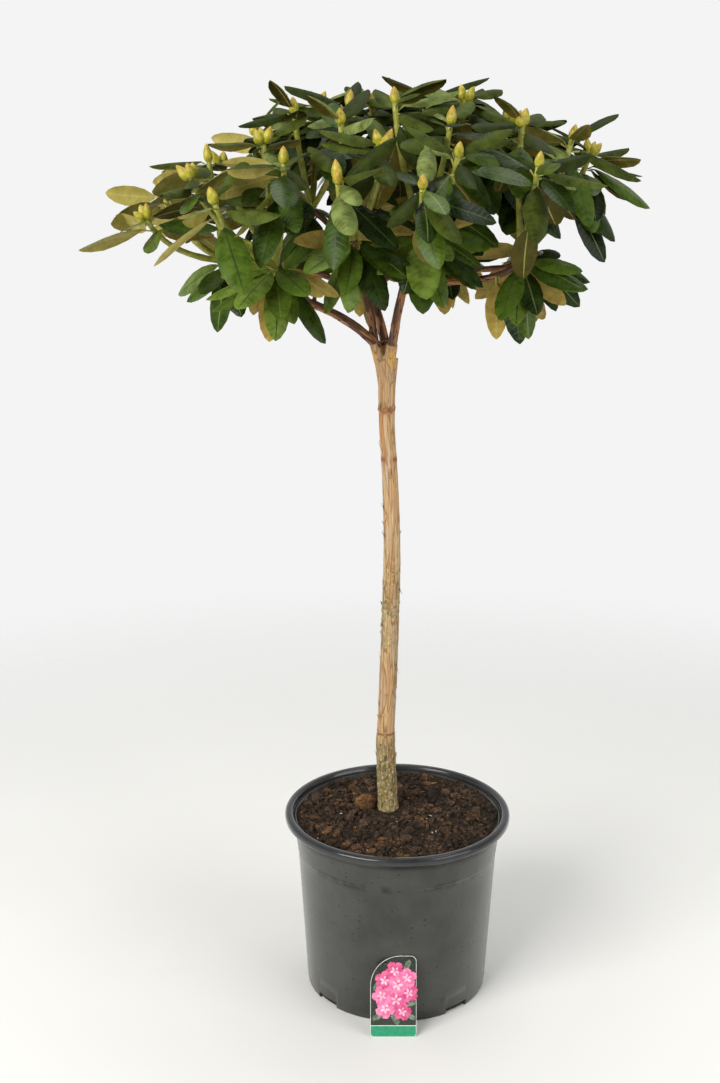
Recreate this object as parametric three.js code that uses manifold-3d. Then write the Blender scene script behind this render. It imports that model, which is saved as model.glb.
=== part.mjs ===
// A rhododendron grown as a standard: a bare stem in a black nursery pot, forking into limbs that
// carry a flat, open umbrella of leaf rosettes. Millimetres, +Z up. The origin is the centre of the
// pot's flat underside, -Y is the front, and X runs to the right as seen from the front.
//
// The stem and its limbs are tapering tubes. Every limb ends at a knot, and from each knot one mass
// of foliage grows: green shoots to the crown's dome, a rosette of leaves and a fat bud on each
// shoot, and last year's leaves hanging round the knot. Each mass keeps to its own cell of the
// crown, so neighbouring masses never cross.
import * as THREE from "three";
import { mergeVertices } from "three/addons/utils/BufferGeometryUtils.js";
import Module from "manifold-3d";

const wasm = await Module();
wasm.setup();

// ---------------------------------------------------------------- driving dimensions

const GAP = 0.3; // clearance between neighbouring solids
const GOLDEN_TURN = 137.508; // degrees between successive leaves round a shoot

const POT = {
  height: 280,
  baseRadius: 137,
  shoulderHeight: 222, // a small step where stacked pots would rest
  shoulderRadius: 150.3,
  shoulderStep: 1,
  neckRadius: 155.5, // wall just under the lip
  mouthRadius: 158,
  lipRadius: 170,
  lipDrop: 11,
  lipRound: 4,
  mouthRound: 3,
  wall: 2.4,
  floor: 3,
  footChamfer: 2.5,
  sides: 32,
};
const DRAIN = { count: 8, firstAngle: 219.6, width: 41, height: 10, reach: 14 };

const SOIL = { level: 268, edgeDrop: 1, lump: 3.2, rings: 4, flatRadius: 22 };

const LABEL = {
  width: 67,
  height: 118,
  thickness: 1,
  lean: 15, // degrees back from upright
  middle: -8, // X of its centre line
  bigCorner: 44,
  smallCorner: 8,
  footCorner: 6,
  holeRadius: 2,
  holeFromSide: 22,
  holeFromTop: 10,
};

// The stem: its foot and the gentle S of its centre line, then its radius at a few heights.
const STEM = {
  line: [
    [-13.2, 24, 268],
    [-17.6, 24, 389],
    [-14.9, 24, 462],
    [-11, 24, 603],
    [-9.8, 24, 695],
    [-11.6, 24, 755],
    [-14.8, 23, 814],
    [-17.8, 20, 858],
    [-18.8, 18, 930],
    [-19.5, 18, 966],
  ],
  radii: [
    [268, 16.3],
    [280, 14.9],
    [388, 14.7],
    [396, 13.3],
    [545, 13.3],
    [650, 12.7],
    [757, 11.8],
    [811, 11.4],
    [817, 12.2],
    [824, 11.4],
    [884, 11.6],
    [890, 12.8],
    [897, 11.9],
    [925, 12.5],
    [945, 15],
    [966, 18],
  ],
  sides: 10,
  footBlock: 100, // side of the block that cuts its foot level
};

// Four knuckles on top of the stem, where the main limbs leave it.
const FORK = { height: 984, spread: 17, rootHeight: 930, rootRadius: 10, radius: 7.6, sides: 8 };

// The crown's dome. Shoot tips are spread over it like the seeds of a sunflower.
const CROWN = {
  x: -38,
  y: 5,
  tipCount: 41,
  tipRadius: 320,
  crowding: 0.54, // half would spread the tips evenly, and more draws them to the middle
  top: 1311,
  fall: 0.00115, // the dome drops by this times the radius squared
  tilt: 0.1, // and rises to the right, for each millimetre
  turn: 95,
  tipJitter: 9,
  heightJitter: 11,
  seed: 20,
};

// One limb for each mass. "from" is the limb it leaves ("stem" for the main ones), "at" the share of
// that limb's length. The knot at its end is given by its bearing and reach from the crown's axis and
// by its height. "rise" is how steeply the limb sets off, in degrees.
const LIMBS = [
  { name: "left", from: "stem", bearing: 188, reach: 196, height: 1094, rise: 46, radius: 7.2 },
  { name: "front", from: "stem", bearing: 299, reach: 122, height: 1138, rise: 66, radius: 7.2 },
  { name: "back", from: "stem", bearing: 98, reach: 168, height: 1100, rise: 52, radius: 7 },
  { name: "centre", from: "stem", bearing: 168, reach: 78, height: 1160, rise: 84, radius: 6.4 },
  { name: "left_front", from: "left", at: 0.46, bearing: 226, reach: 180, height: 1096, rise: 30, radius: 5.2 },
  { name: "back_left", from: "back", at: 0.4, bearing: 144, reach: 176, height: 1100, rise: 35, radius: 5.4 },
  { name: "back_right", from: "back", at: 0.5, bearing: 58, reach: 176, height: 1102, rise: 35, radius: 5.4 },
  { name: "right_front", from: "front", at: 0.42, bearing: 336, reach: 204, height: 1098, rise: 24, radius: 5.6 },
  { name: "right", from: "right_front", at: 0.4, bearing: 12, reach: 216, height: 1100, rise: 30, radius: 5 },
  { name: "front_left", from: "centre", at: 0.36, bearing: 258, reach: 118, height: 1130, rise: 42, radius: 5.2 },
  { name: "top_right", from: "centre", at: 0.5, bearing: 10, reach: 84, height: 1164, rise: 55, radius: 5 },
  { name: "top_back", from: "centre", at: 0.62, bearing: 92, reach: 84, height: 1158, rise: 55, radius: 4.8 },
];
const LIMB = {
  knotRadius: 4.4,
  sides: 6,
  steps: 4,
  setOff: 0.38, // share of its span that a limb keeps the line it sets off on
  arrive: 0.3, // and the line it arrives on
  outward: 0.7, // how far it arrives outwards
  upward: 0.55, // and upwards
};

const SHOOT = {
  rootRadius: 3.6,
  tipRadius: 3,
  sides: 3,
  steps: 3,
  stemLength: 16, // of the short stem that a mass's shoots leave
  leaveAt: 0.7, // share of that stem where they leave it
  outwardPull: 0.2,
  follow: 0.55, // how far a shoot's tip keeps the line from its knot
  splay: 0.0006, // and leans away from the crown's axis, for each millimetre from it
  bend: 0.45,
};
const BUD = { length: 21, radius: 6.2, widest: 0.36, tipRadius: 0.7 };

const ROSETTE = {
  leaves: 7,
  depth: 25, // length of shoot that the leaves are spread along
  lowest: -30, // degrees above square to the shoot, for the lowest leaf
  highest: 28,
  scatter: 8,
  inner: 0.78, // size of the highest leaf against the lowest
  below: 0.04, // share of the depth that the highest leaf sits under the shoot's tip
};
const HANGING = {
  leaves: 9,
  size: 0.98,
  lifts: [-48, -70, -14], // degrees above level, taken in turn
  scatter: 8,
  from: 0.15, // share of the mass's stem where the first one sits, and the last
  to: 0.75,
  inwardSkip: 0.3,
};

const LEAF = {
  length: 104,
  vary: 8,
  widthShare: 0.37,
  thickness: 2.6,
  thickest: 0.42,
  corners: 6,
  bulge: 1.08, // makes up for the width that straight edges cut off
  rootDepth: 0.6, // how far the stalk's end lies beyond the twig's centre line
  droop: 0.13, // how far the tip bends down, as a share of length
  cup: 0.1, // how far the edges roll down, as a share of width
  roll: 16,
  clearance: 2, // kept from limbs and from other shoots
  freeFrom: 0.08, // nearer the twig than this share of its length, a leaf may meet its neighbours
};

// Ways to place a leaf that would leave its cell or touch a limb: turn, lift and shrink it.
const LEAF_TRIES = [
  { turn: 0, lift: 0, size: 1 },
  { turn: 14, lift: 5, size: 0.98 },
  { turn: -14, lift: -5, size: 0.98 },
  { turn: 30, lift: -4, size: 0.96 },
  { turn: -30, lift: 4, size: 0.96 },
  { turn: 0, lift: 20, size: 0.92 },
  { turn: 24, lift: 26, size: 0.88 },
  { turn: -24, lift: 30, size: 0.86 },
  { turn: 52, lift: 10, size: 0.86 },
  { turn: -52, lift: 14, size: 0.86 },
  { turn: 0, lift: 42, size: 0.8 },
  { turn: 80, lift: -8, size: 0.84 },
  { turn: -80, lift: -8, size: 0.84 },
  { turn: 36, lift: 46, size: 0.78 },
  { turn: -36, lift: 46, size: 0.78 },
  { turn: 115, lift: 6, size: 0.8 },
  { turn: -115, lift: 6, size: 0.8 },
];

const COLOURS = {
  pot: 0x2e3031,
  soil: 0x3a2a20,
  label: 0xd9578f,
  bark: 0xa98a62,
  limb: 0x6e4a36,
  foliage: 0x3f5a2e,
};

// ---------------------------------------------------------------- small helpers

const vec = (x, y, z) => new THREE.Vector3(x, y, z);
const UP = vec(0, 0, 1);
const radians = (degrees) => (degrees * Math.PI) / 180;
const mix = (a, b, t) => a + (b - a) * t;
const bearing = (degrees) => vec(Math.cos(radians(degrees)), Math.sin(radians(degrees)), 0);

let seed = CROWN.seed;
// A small linear congruential generator, so that every build grows the same plant.
function chance() {
  seed = (Math.imul(seed, 1664525) + 1013904223) >>> 0;
  return seed / 4294967296;
}
const vary = (amount) => (chance() * 2 - 1) * amount;

// Reads a value off a short table of [position, value] pairs.
function lookUp(table, position) {
  const next = table.findIndex(([at]) => at >= position);
  if (next < 0) return table[table.length - 1][1];
  if (next === 0) return table[0][1];
  const [[a, from], [b, to]] = [table[next - 1], table[next]];
  return mix(from, to, (position - a) / (b - a));
}

// A geometry with its seams closed, whose corners are then put where "place" says.
function reshaped(geometry, place) {
  const bare = geometry.clone();
  bare.deleteAttribute("normal");
  bare.deleteAttribute("uv");
  const merged = mergeVertices(bare, 1e-4);
  const corners = merged.attributes.position;
  const corner = new THREE.Vector3();
  for (let i = 0; i < corners.count; i++) {
    const { x, y, z } = place(corner.fromBufferAttribute(corners, i), i);
    corners.setXYZ(i, x, y, z);
  }
  return merged;
}

// ---------------------------------------------------------------- joining and cutting

function solidFrom(geometry) {
  const merged = reshaped(geometry, (corner) => corner);
  const vertProperties = new Float32Array(merged.attributes.position.array);
  const triVerts = new Uint32Array(merged.index.array);
  return new wasm.Manifold(new wasm.Mesh({ numProp: 3, vertProperties, triVerts }));
}

function geometryFrom(solid) {
  const { numProp, numVert, vertProperties, triVerts } = solid.getMesh();
  const positions = new Float32Array(numVert * 3);
  for (let i = 0; i < numVert; i++) {
    positions.set(vertProperties.subarray(i * numProp, i * numProp + 3), i * 3);
  }
  const geometry = new THREE.BufferGeometry();
  geometry.setAttribute("position", new THREE.BufferAttribute(positions, 3));
  geometry.setIndex(new THREE.BufferAttribute(new Uint32Array(triVerts), 1));
  return geometry;
}

const joined = (solids) => solids.reduce((all, one) => all.add(one));

// The largest piece of a solid: loose scraps that a cut leaves are dropped.
function largestPiece(solid) {
  const pieces = solid.decompose();
  return pieces.reduce((best, piece) => (piece.volume() > best.volume() ? piece : best));
}

// ---------------------------------------------------------------- tapering tubes

// A closed tube round the given centre points: a cylinder with one ring of corners for each point. Its
// section is turned as little as possible from one point to the next.
function tube(centres, radii, sides) {
  const steps = centres.length - 1;
  const frames = [];
  centres.forEach((centre, i) => {
    const along = centres[Math.min(i + 1, steps)].clone().sub(centres[Math.max(i - 1, 0)]).normalize();
    const start = frames[i - 1]?.side ?? (Math.abs(along.x) < 0.9 ? vec(1, 0, 0) : vec(0, 1, 0));
    const side = start.clone().addScaledVector(along, -start.dot(along)).normalize();
    frames.push({ centre, side, across: along.clone().cross(side), radius: radii[i] });
  });
  return reshaped(new THREE.CylinderGeometry(1, 1, steps, sides, steps), (corner) => {
    const { centre, side, across, radius } = frames[Math.round(corner.y + steps / 2)];
    return centre.clone().addScaledVector(side, corner.z * radius).addScaledVector(across, corner.x * radius);
  });
}

// Points and radii of a limb or shoot along a curve, from one radius to another.
function taperAlong(curve, from, to, steps) {
  const shares = Array.from({ length: steps + 1 }, (_, i) => i / steps);
  return [shares.map((t) => curve.getPoint(t)), shares.map((t) => mix(from, to, t))];
}

// ---------------------------------------------------------------- pot, soil and label

function potWallRadius(height) {
  return mix(POT.baseRadius, POT.shoulderRadius, height / POT.shoulderHeight);
}

function potSolid() {
  const { height, wall, floor, neckRadius, lipRadius, mouthRadius } = POT;
  const shoulder = POT.shoulderRadius;
  const lipFoot = height - POT.lipDrop;
  const profile = [
    [0, 0],
    [POT.baseRadius - POT.footChamfer, 0],
    [potWallRadius(POT.footChamfer), POT.footChamfer],
    [shoulder, POT.shoulderHeight],
    [shoulder + POT.shoulderStep, POT.shoulderHeight + 2 * POT.shoulderStep],
    [neckRadius, lipFoot],
    [lipRadius, lipFoot],
    [lipRadius, height - POT.lipRound],
    [lipRadius - POT.lipRound, height],
    [mouthRadius + POT.mouthRound, height],
    [mouthRadius, height - POT.mouthRound],
    [neckRadius - wall, lipFoot],
    [shoulder - wall, POT.shoulderHeight],
    [potWallRadius(floor) - wall, floor],
    [0, floor],
  ];
  const turned = new THREE.LatheGeometry(profile.map(([r, z]) => new THREE.Vector2(r, z)), POT.sides);
  turned.rotateX(Math.PI / 2);
  const drains = Array.from({ length: DRAIN.count }, (_, i) => {
    const block = new THREE.BoxGeometry(2 * DRAIN.reach, DRAIN.width, 2 * DRAIN.height);
    block.translate(POT.baseRadius, 0, 0);
    block.rotateZ(radians(DRAIN.firstAngle + (360 * i) / DRAIN.count));
    return solidFrom(block);
  });
  return drains.reduce((pot, drain) => pot.subtract(drain), solidFrom(turned));
}

// The compost: a turned solid whose top rings open out from the stem's foot to the pot's wall. The
// patch that the stem stands on is level, and the rest is lumpy.
function soilGeometry() {
  const [footX, footY] = STEM.line[0];
  const inner = (height) => potWallRadius(height) - POT.wall - GAP;
  const edgeRadius = POT.neckRadius - POT.wall - 3 * GAP;
  const shares = Array.from({ length: SOIL.rings + 1 }, (_, i) => i / SOIL.rings);
  const profile = [
    [0, POT.floor + GAP],
    [inner(POT.floor), POT.floor + GAP],
    [inner(POT.shoulderHeight) - GAP, POT.shoulderHeight],
    ...shares.reverse().map((t) => [mix(SOIL.flatRadius, edgeRadius, t), SOIL.level]),
    [0, SOIL.level],
  ];
  const turned = new THREE.LatheGeometry(profile.map(([r, z]) => new THREE.Vector2(r, z)), POT.sides);
  turned.rotateX(Math.PI / 2);
  return reshaped(turned, (corner) => {
    if (corner.z < POT.shoulderHeight + GAP) return corner;
    const beyondPatch = Math.hypot(corner.x, corner.y) - SOIL.flatRadius;
    const share = Math.max(beyondPatch / (edgeRadius - SOIL.flatRadius), 0);
    const lump = beyondPatch < GAP ? 0 : vary(SOIL.lump) - SOIL.edgeDrop * share * share;
    return corner.add(vec(footX * (1 - share), footY * (1 - share), lump));
  });
}

// A plant label: a thin card whose top left corner is one wide sweep, leaning on the pot's wall.
function labelMesh() {
  const { width, height, bigCorner, smallCorner, footCorner, thickness } = LABEL;
  const [left, right] = [-width / 2, width / 2];
  const card = new THREE.Shape();
  card.moveTo(left + footCorner, 0);
  card.lineTo(right - footCorner, 0);
  card.absarc(right - footCorner, footCorner, footCorner, -Math.PI / 2, 0);
  card.lineTo(right, height - smallCorner);
  card.absarc(right - smallCorner, height - smallCorner, smallCorner, 0, Math.PI / 2);
  card.lineTo(left + bigCorner, height);
  card.absarc(left + bigCorner, height - bigCorner, bigCorner, Math.PI / 2, Math.PI);
  card.lineTo(left, footCorner);
  card.absarc(left + footCorner, footCorner, footCorner, Math.PI, 1.5 * Math.PI);
  const hole = new THREE.Path();
  hole.absarc(left + LABEL.holeFromSide, height - LABEL.holeFromTop, LABEL.holeRadius, 0, 2 * Math.PI, true);
  card.holes.push(hole);
  const options = { depth: thickness, bevelEnabled: false, curveSegments: 5 };
  const geometry = new THREE.ExtrudeGeometry(card, options);
  const mesh = named("label", geometry, COLOURS.label, 0.35);
  // The card's back is its z = 0 side. It stands upright, then leans back on its foot.
  const lean = radians(LABEL.lean);
  mesh.rotation.set(Math.PI / 2 - lean, 0, 0);
  const backAtTop = -(potWallRadius(height * Math.cos(lean)) + GAP);
  mesh.position.set(LABEL.middle, backAtTop - height * Math.sin(lean), GAP);
  return mesh;
}

// ---------------------------------------------------------------- stem and limbs

const stemCurve = new THREE.CatmullRomCurve3(STEM.line.map(([x, y, z]) => vec(x, y, z)));
const crownAxis = vec(CROWN.x, CROWN.y, 0);
const forkTop = vec(STEM.line.at(-1)[0], STEM.line.at(-1)[1], FORK.height);

function knotOf(limb) {
  return crownAxis.clone().addScaledVector(bearing(limb.bearing), limb.reach).setZ(limb.height);
}

// Where a main limb leaves the stem's knuckle.
function knuckleTop(limb) {
  return forkTop.clone().addScaledVector(bearing(limb.bearing), FORK.spread);
}

function stemSolid() {
  const steps = STEM.radii.map(([height]) => height);
  const between = STEM.line.slice(1, -1).map(([, , height]) => height);
  const heights = [...steps, ...between].sort((a, b) => a - b);
  const base = STEM.line[0][2];
  const top = STEM.line.at(-1)[2];
  const centres = heights.map((height) => {
    // The curve's points are spread unevenly in height, so its parameter is found by bisection.
    let [low, high] = [0, 1];
    for (let i = 0; i < 30; i++) {
      const middle = (low + high) / 2;
      if (stemCurve.getPoint(middle).z < height) low = middle;
      else high = middle;
    }
    const { x, y } = stemCurve.getPoint(low);
    return vec(x, y, height === base ? base + GAP : Math.min(height, top));
  });
  const shaft = solidFrom(tube(centres, heights.map((height) => lookUp(STEM.radii, height)), STEM.sides));
  const root = vec(forkTop.x, forkTop.y, FORK.rootHeight);
  const knuckles = LIMBS.filter((limb) => limb.from === "stem").map((limb) =>
    solidFrom(tube([root, knuckleTop(limb)], [FORK.rootRadius, FORK.radius], FORK.sides)),
  );
  // The shaft starts square to its line, so its foot is cut level.
  const ground = new THREE.BoxGeometry(STEM.footBlock, STEM.footBlock, STEM.footBlock);
  ground.translate(0, 0, base + GAP - STEM.footBlock / 2);
  return joined([shaft, ...knuckles]).subtract(solidFrom(ground));
}

// The centre line of each limb, by name.
const limbCurves = new Map();
for (const limb of LIMBS) {
  const knot = knotOf(limb);
  const main = limb.from === "stem";
  const start = main ? knuckleTop(limb) : limbCurves.get(limb.from).getPoint(limb.at);
  const outward = knot.clone().sub(start).setZ(0).normalize();
  const rise = radians(limb.rise);
  const setOff = outward.clone().multiplyScalar(Math.cos(rise)).addScaledVector(UP, Math.sin(rise));
  const arrive = outward.clone().multiplyScalar(LIMB.outward).addScaledVector(UP, LIMB.upward).normalize();
  const span = start.distanceTo(knot);
  limbCurves.set(
    limb.name,
    new THREE.CubicBezierCurve3(
      start,
      start.clone().addScaledVector(setOff, span * LIMB.setOff),
      knot.clone().addScaledVector(arrive, -span * LIMB.arrive),
      knot,
    ),
  );
}

function limbTube(limb, extra) {
  const [centres, radii] = taperAlong(limbCurves.get(limb.name), limb.radius, LIMB.knotRadius, LIMB.steps);
  return solidFrom(tube(centres, radii.map((radius) => radius + extra), LIMB.sides));
}

// Each limb is cut clear of the stem and of every limb made before it.
function limbSolids(stem) {
  const stemRoom = joined(
    [[GAP, 0, 0], [-GAP, 0, 0], [0, GAP, 0], [0, -GAP, 0], [0, 0, GAP]].map((shift) => stem.translate(shift)),
  );
  const solids = new Map();
  let taken = stemRoom;
  for (const limb of LIMBS) {
    solids.set(limb.name, largestPiece(limbTube(limb, 0).subtract(taken)));
    taken = taken.add(limbTube(limb, GAP));
  }
  return { solids, taken };
}

// ---------------------------------------------------------------- foliage

// A mass is centred a little further out than its knot, because its shoots lean outwards.
const massCentres = LIMBS.map((limb) => {
  const reach = limb.reach * (1 + SHOOT.outwardPull);
  return crownAxis.clone().addScaledVector(bearing(limb.bearing), reach);
});

function nearestMass(point) {
  const distances = massCentres.map((centre) => Math.hypot(centre.x - point.x, centre.y - point.y));
  return distances.indexOf(Math.min(...distances));
}

// True where every point lies in the cell of the given mass, clear of its walls.
function inCell(points, index) {
  const own = massCentres[index];
  return massCentres.every((other, i) => {
    if (i === index) return true;
    const across = vec(other.x - own.x, other.y - own.y, 0);
    const wall = across.length() / 2 - GAP;
    across.normalize();
    return points.every((p) => (p.x - own.x) * across.x + (p.y - own.y) * across.y < wall);
  });
}

// Shoot tips over the dome, each listed under the mass it belongs to.
function shootTips() {
  seed = CROWN.seed;
  const tips = LIMBS.map(() => []);
  for (let i = 0; i < CROWN.tipCount; i++) {
    const share = (i + 0.5) / CROWN.tipCount;
    const radius = CROWN.tipRadius * share ** CROWN.crowding + vary(CROWN.tipJitter);
    const around = bearing(CROWN.turn + GOLDEN_TURN * i);
    const tip = crownAxis.clone().addScaledVector(around, radius);
    const tilted = CROWN.tilt * (tip.x - CROWN.x);
    tip.z = CROWN.top + tilted - CROWN.fall * radius * radius + vary(CROWN.heightJitter);
    tips[nearestMass(tip)].push(tip);
  }
  return tips;
}

// Two directions square to an axis, the first as near to the outside of the crown as it can be.
function squareTo(axis, outward) {
  const first = outward.clone().addScaledVector(axis, -outward.dot(axis)).normalize();
  return [first, axis.clone().cross(first)];
}

// Where a point of a leaf lies: "share" of the way from its root to its tip, "side" of its half width
// across, and "lift" above its middle layer. It bends down along its length and over its edges.
function leafPoint({ root, along, face, length }, share, side, lift) {
  const across = along.clone().cross(face);
  const sag = LEAF.droop * length * share * share + LEAF.cup * length * LEAF.widthShare * Math.abs(side);
  return root
    .clone()
    .addScaledVector(along, length * share - LEAF.rootDepth * (1 - share))
    .addScaledVector(face, lift - sag)
    .addScaledVector(across, (side * length * LEAF.widthShare) / 2);
}

// Round the edge of a leaf of LEAF.corners corners, from its root by way of its tip.
function leafRim(leaf) {
  return Array.from({ length: LEAF.corners }, (_, i) => {
    const angle = (2 * Math.PI * i) / LEAF.corners;
    return leafPoint(leaf, (1 - Math.cos(angle)) / 2, LEAF.bulge * Math.sin(angle), 0);
  });
}

// A leaf is a sphere of two bands of faces: its ring is laid along the leaf's edge, and its poles
// become the middle of the upper and lower faces.
function leafGeometry(leaf) {
  return reshaped(new THREE.SphereGeometry(1, LEAF.corners, 2), (corner) => {
    const share = Math.abs(corner.y) > 0.5 ? LEAF.thickest : (1 + corner.x) / 2;
    return leafPoint(leaf, share, LEAF.bulge * corner.z, (corner.y * LEAF.thickness) / 2);
  });
}

// What the tests below look at: a leaf's outline beyond its stalk, and its middle.
function leafSheet(leaf) {
  const middle = leafPoint(leaf, LEAF.thickest, 0, 0);
  const rim = leafRim(leaf);
  rim[0].lerp(middle, LEAF.freeFrom / LEAF.thickest);
  return { rim, middle };
}

// True where the segment from p to q passes through the triangle a, b, c.
function pierces(p, q, a, b, c) {
  const ray = q.clone().sub(p);
  const [ab, ac] = [b.clone().sub(a), c.clone().sub(a)];
  const normal = ray.clone().cross(ac);
  const slant = ab.dot(normal);
  if (Math.abs(slant) < 1e-9) return false;
  const from = p.clone().sub(a);
  const u = from.dot(normal) / slant;
  const turned = from.clone().cross(ab);
  const v = ray.dot(turned) / slant;
  const t = ac.dot(turned) / slant;
  return u >= 0 && v >= 0 && u + v <= 1 && t >= 0 && t <= 1;
}

// True where the outline of one leaf passes through the sheet of the other, either way round.
function leavesCross(one, other) {
  if (one.middle.distanceTo(other.middle) > 1.5 * LEAF.length) return false;
  const through = (edges, sheet) =>
    edges.rim.some((p, i) => {
      const q = edges.rim[(i + 1) % LEAF.corners];
      return sheet.rim.some((b, j) => pierces(p, q, sheet.middle, b, sheet.rim[(j + 1) % LEAF.corners]));
    });
  return through(one, other) || through(other, one);
}

// A limb or shoot as the line and radii that leaves keep clear of.
function clearanceOf(centres, radii) {
  return centres.slice(1).map((end, i) => ({
    line: new THREE.Line3(centres[i], end),
    radius: Math.max(radii[i], radii[i + 1]) + LEAF.clearance,
  }));
}

// True where the leaf comes within the clearance of a limb or shoot.
function touches({ rim, middle }, rods) {
  const spots = rim.flatMap((p, i) => {
    const next = rim[(i + 1) % LEAF.corners];
    return [p, p.clone().lerp(next, 0.5), p.clone().lerp(middle, 0.5)];
  });
  spots.push(middle);
  const near = new THREE.Vector3();
  return rods.some(({ line, radius }) =>
    spots.some((spot) => line.closestPointToPoint(spot, true, near).distanceTo(spot) < radius),
  );
}

// Places one leaf, or returns null where no try keeps it in its cell, clear of limbs and of leaves.
function placeLeaf(spot, index, rods, sheets) {
  for (const attempt of LEAF_TRIES) {
    const angle = radians(spot.angle + attempt.turn);
    const lift = radians(spot.lift + attempt.lift);
    const out = spot.first.clone().multiplyScalar(Math.cos(angle));
    out.addScaledVector(spot.second, Math.sin(angle));
    const along = out.clone().multiplyScalar(Math.cos(lift)).addScaledVector(spot.axis, Math.sin(lift));
    const face = spot.axis.clone().multiplyScalar(Math.cos(lift)).addScaledVector(out, -Math.sin(lift));
    face.applyAxisAngle(along, radians(spot.roll));
    const leaf = { root: spot.root, along, face, length: spot.length * attempt.size };
    const sheet = leafSheet(leaf);
    const others = rods.filter((rod) => rod.owner === undefined || rod.owner !== spot.owner);
    if (!inCell([...leafRim(leaf), sheet.middle], index) || touches(sheet, others)) continue;
    if (sheets.some((other) => leavesCross(sheet, other))) continue;
    sheets.push(sheet);
    return solidFrom(leafGeometry(leaf));
  }
  return null;
}

// The leaves round the end of a shoot, from the lowest to the highest.
function rosetteSpots(curve, axis, outward, owner) {
  const [first, second] = squareTo(axis, outward);
  const turn = chance() * 360;
  const reach = ROSETTE.depth / curve.getLength();
  return Array.from({ length: ROSETTE.leaves }, (_, j) => {
    const t = j / (ROSETTE.leaves - 1);
    return {
      owner,
      root: curve.getPoint(1 - reach * mix(1, ROSETTE.below, t)),
      axis,
      first,
      second,
      angle: turn + GOLDEN_TURN * j,
      lift: mix(ROSETTE.lowest, ROSETTE.highest, t) + vary(ROSETTE.scatter),
      length: (LEAF.length + vary(LEAF.vary)) * mix(1, ROSETTE.inner, t * t),
      roll: vary(LEAF.roll),
    };
  });
}

// Last year's leaves, which hang round the knot. Few of them point at the crown's middle.
function hangingSpots(from, to, outward) {
  const [first, second] = squareTo(UP, outward);
  const turn = chance() * 360;
  return Array.from({ length: HANGING.leaves }, (_, j) => ({
    root: from.clone().lerp(to, mix(HANGING.from, HANGING.to, j / (HANGING.leaves - 1))),
    axis: UP,
    first,
    second,
    angle: turn + GOLDEN_TURN * j,
    lift: HANGING.lifts[j % HANGING.lifts.length] + vary(HANGING.scatter),
    length: LEAF.length * HANGING.size + vary(LEAF.vary),
    roll: vary(LEAF.roll),
    luck: chance(),
  })).filter((spot) => spot.luck > HANGING.inwardSkip || Math.cos(radians(spot.angle)) > 0);
}

function massSolid(limb, index, tips, limbRoom, limbRods) {
  seed = CROWN.seed + 977 * (index + 1);
  const curve = limbCurves.get(limb.name);
  const knot = knotOf(limb);
  const arrive = curve.getTangent(1);
  const outward = knot.clone().sub(crownAxis).setZ(0).normalize();
  const stemStart = knot.clone().addScaledVector(arrive, GAP);
  const stemEnd = knot.clone().addScaledVector(arrive, SHOOT.stemLength);
  const parts = [solidFrom(tube([stemStart, stemEnd], [LIMB.knotRadius, LIMB.knotRadius], LIMB.sides))];
  const rods = [...limbRods];
  const spots = hangingSpots(stemStart, stemEnd, outward);
  tips.forEach((tip, owner) => {
    const root = stemStart.clone().lerp(stemEnd, SHOOT.leaveAt);
    const span = root.distanceTo(tip);
    const lean = tip.clone().sub(root).normalize();
    const tipOut = tip.clone().sub(crownAxis).setZ(0);
    const axis = lean.clone().multiplyScalar(SHOOT.follow).add(UP);
    axis.addScaledVector(tipOut, SHOOT.splay).normalize();
    const bend = tip.clone().addScaledVector(axis, -span * SHOOT.bend);
    const shoot = new THREE.QuadraticBezierCurve3(root, bend, tip);
    const [centres, radii] = taperAlong(shoot, SHOOT.rootRadius, SHOOT.tipRadius, SHOOT.steps);
    const swelling = tip.clone().addScaledVector(axis, BUD.length * BUD.widest);
    const point = tip.clone().addScaledVector(axis, BUD.length);
    const shape = tube([...centres, swelling, point], [...radii, BUD.radius, BUD.tipRadius], SHOOT.sides);
    parts.push(solidFrom(shape));
    rods.push(...clearanceOf(centres, radii).map((rod) => ({ ...rod, owner })));
    spots.push(...rosetteSpots(shoot, axis, tipOut.normalize(), owner));
  });
  const sheets = [];
  const placed = spots.map((spot) => placeLeaf(spot, index, rods, sheets)).filter((leaf) => leaf);
  return largestPiece(joined([...parts, ...placed]).subtract(limbRoom));
}

// ---------------------------------------------------------------- the whole plant

function named(name, geometry, colour, roughness) {
  const material = new THREE.MeshStandardMaterial({ color: colour, roughness, metalness: 0 });
  const mesh = new THREE.Mesh(geometry, material);
  mesh.name = name;
  return mesh;
}

const plant = new THREE.Group();
plant.add(named("pot", geometryFrom(potSolid()), COLOURS.pot, 0.45));
seed = CROWN.seed;
plant.add(named("soil", soilGeometry(), COLOURS.soil, 1));
plant.add(labelMesh());

const stem = stemSolid();
plant.add(named("stem", geometryFrom(stem), COLOURS.bark, 0.9));
const { solids: limbs, taken } = limbSolids(stem);
const limbRoom = taken;
const limbRods = LIMBS.flatMap((limb) =>
  clearanceOf(...taperAlong(limbCurves.get(limb.name), limb.radius, LIMB.knotRadius, LIMB.steps)),
);
for (const [name, solid] of limbs) plant.add(named(`bough_${name}`, geometryFrom(solid), COLOURS.limb, 0.85));

const tips = shootTips();
LIMBS.forEach((limb, index) => {
  const mass = massSolid(limb, index, tips[index], limbRoom, limbRods);
  plant.add(named(`foliage_${limb.name}`, geometryFrom(mass), COLOURS.foliage, 0.5));
});

export default plant;
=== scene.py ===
# %% [markdown]
# # A rhododendron standard in its nursery pot
#
# A standard is a shrub grown as a small tree. Its one bare stem forks into four limbs, these bear
# eight more, and each limb ends in a mass of leathery leaves. The solids that the part is packed
# from have the right sizes, but their leaves have a dozen faces and their bark is smooth. This scene
# grows the same plant again by the same rule, with finer shapes, and finishes the pot, the compost
# and the plant label.

# %% Tools
import math

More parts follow.
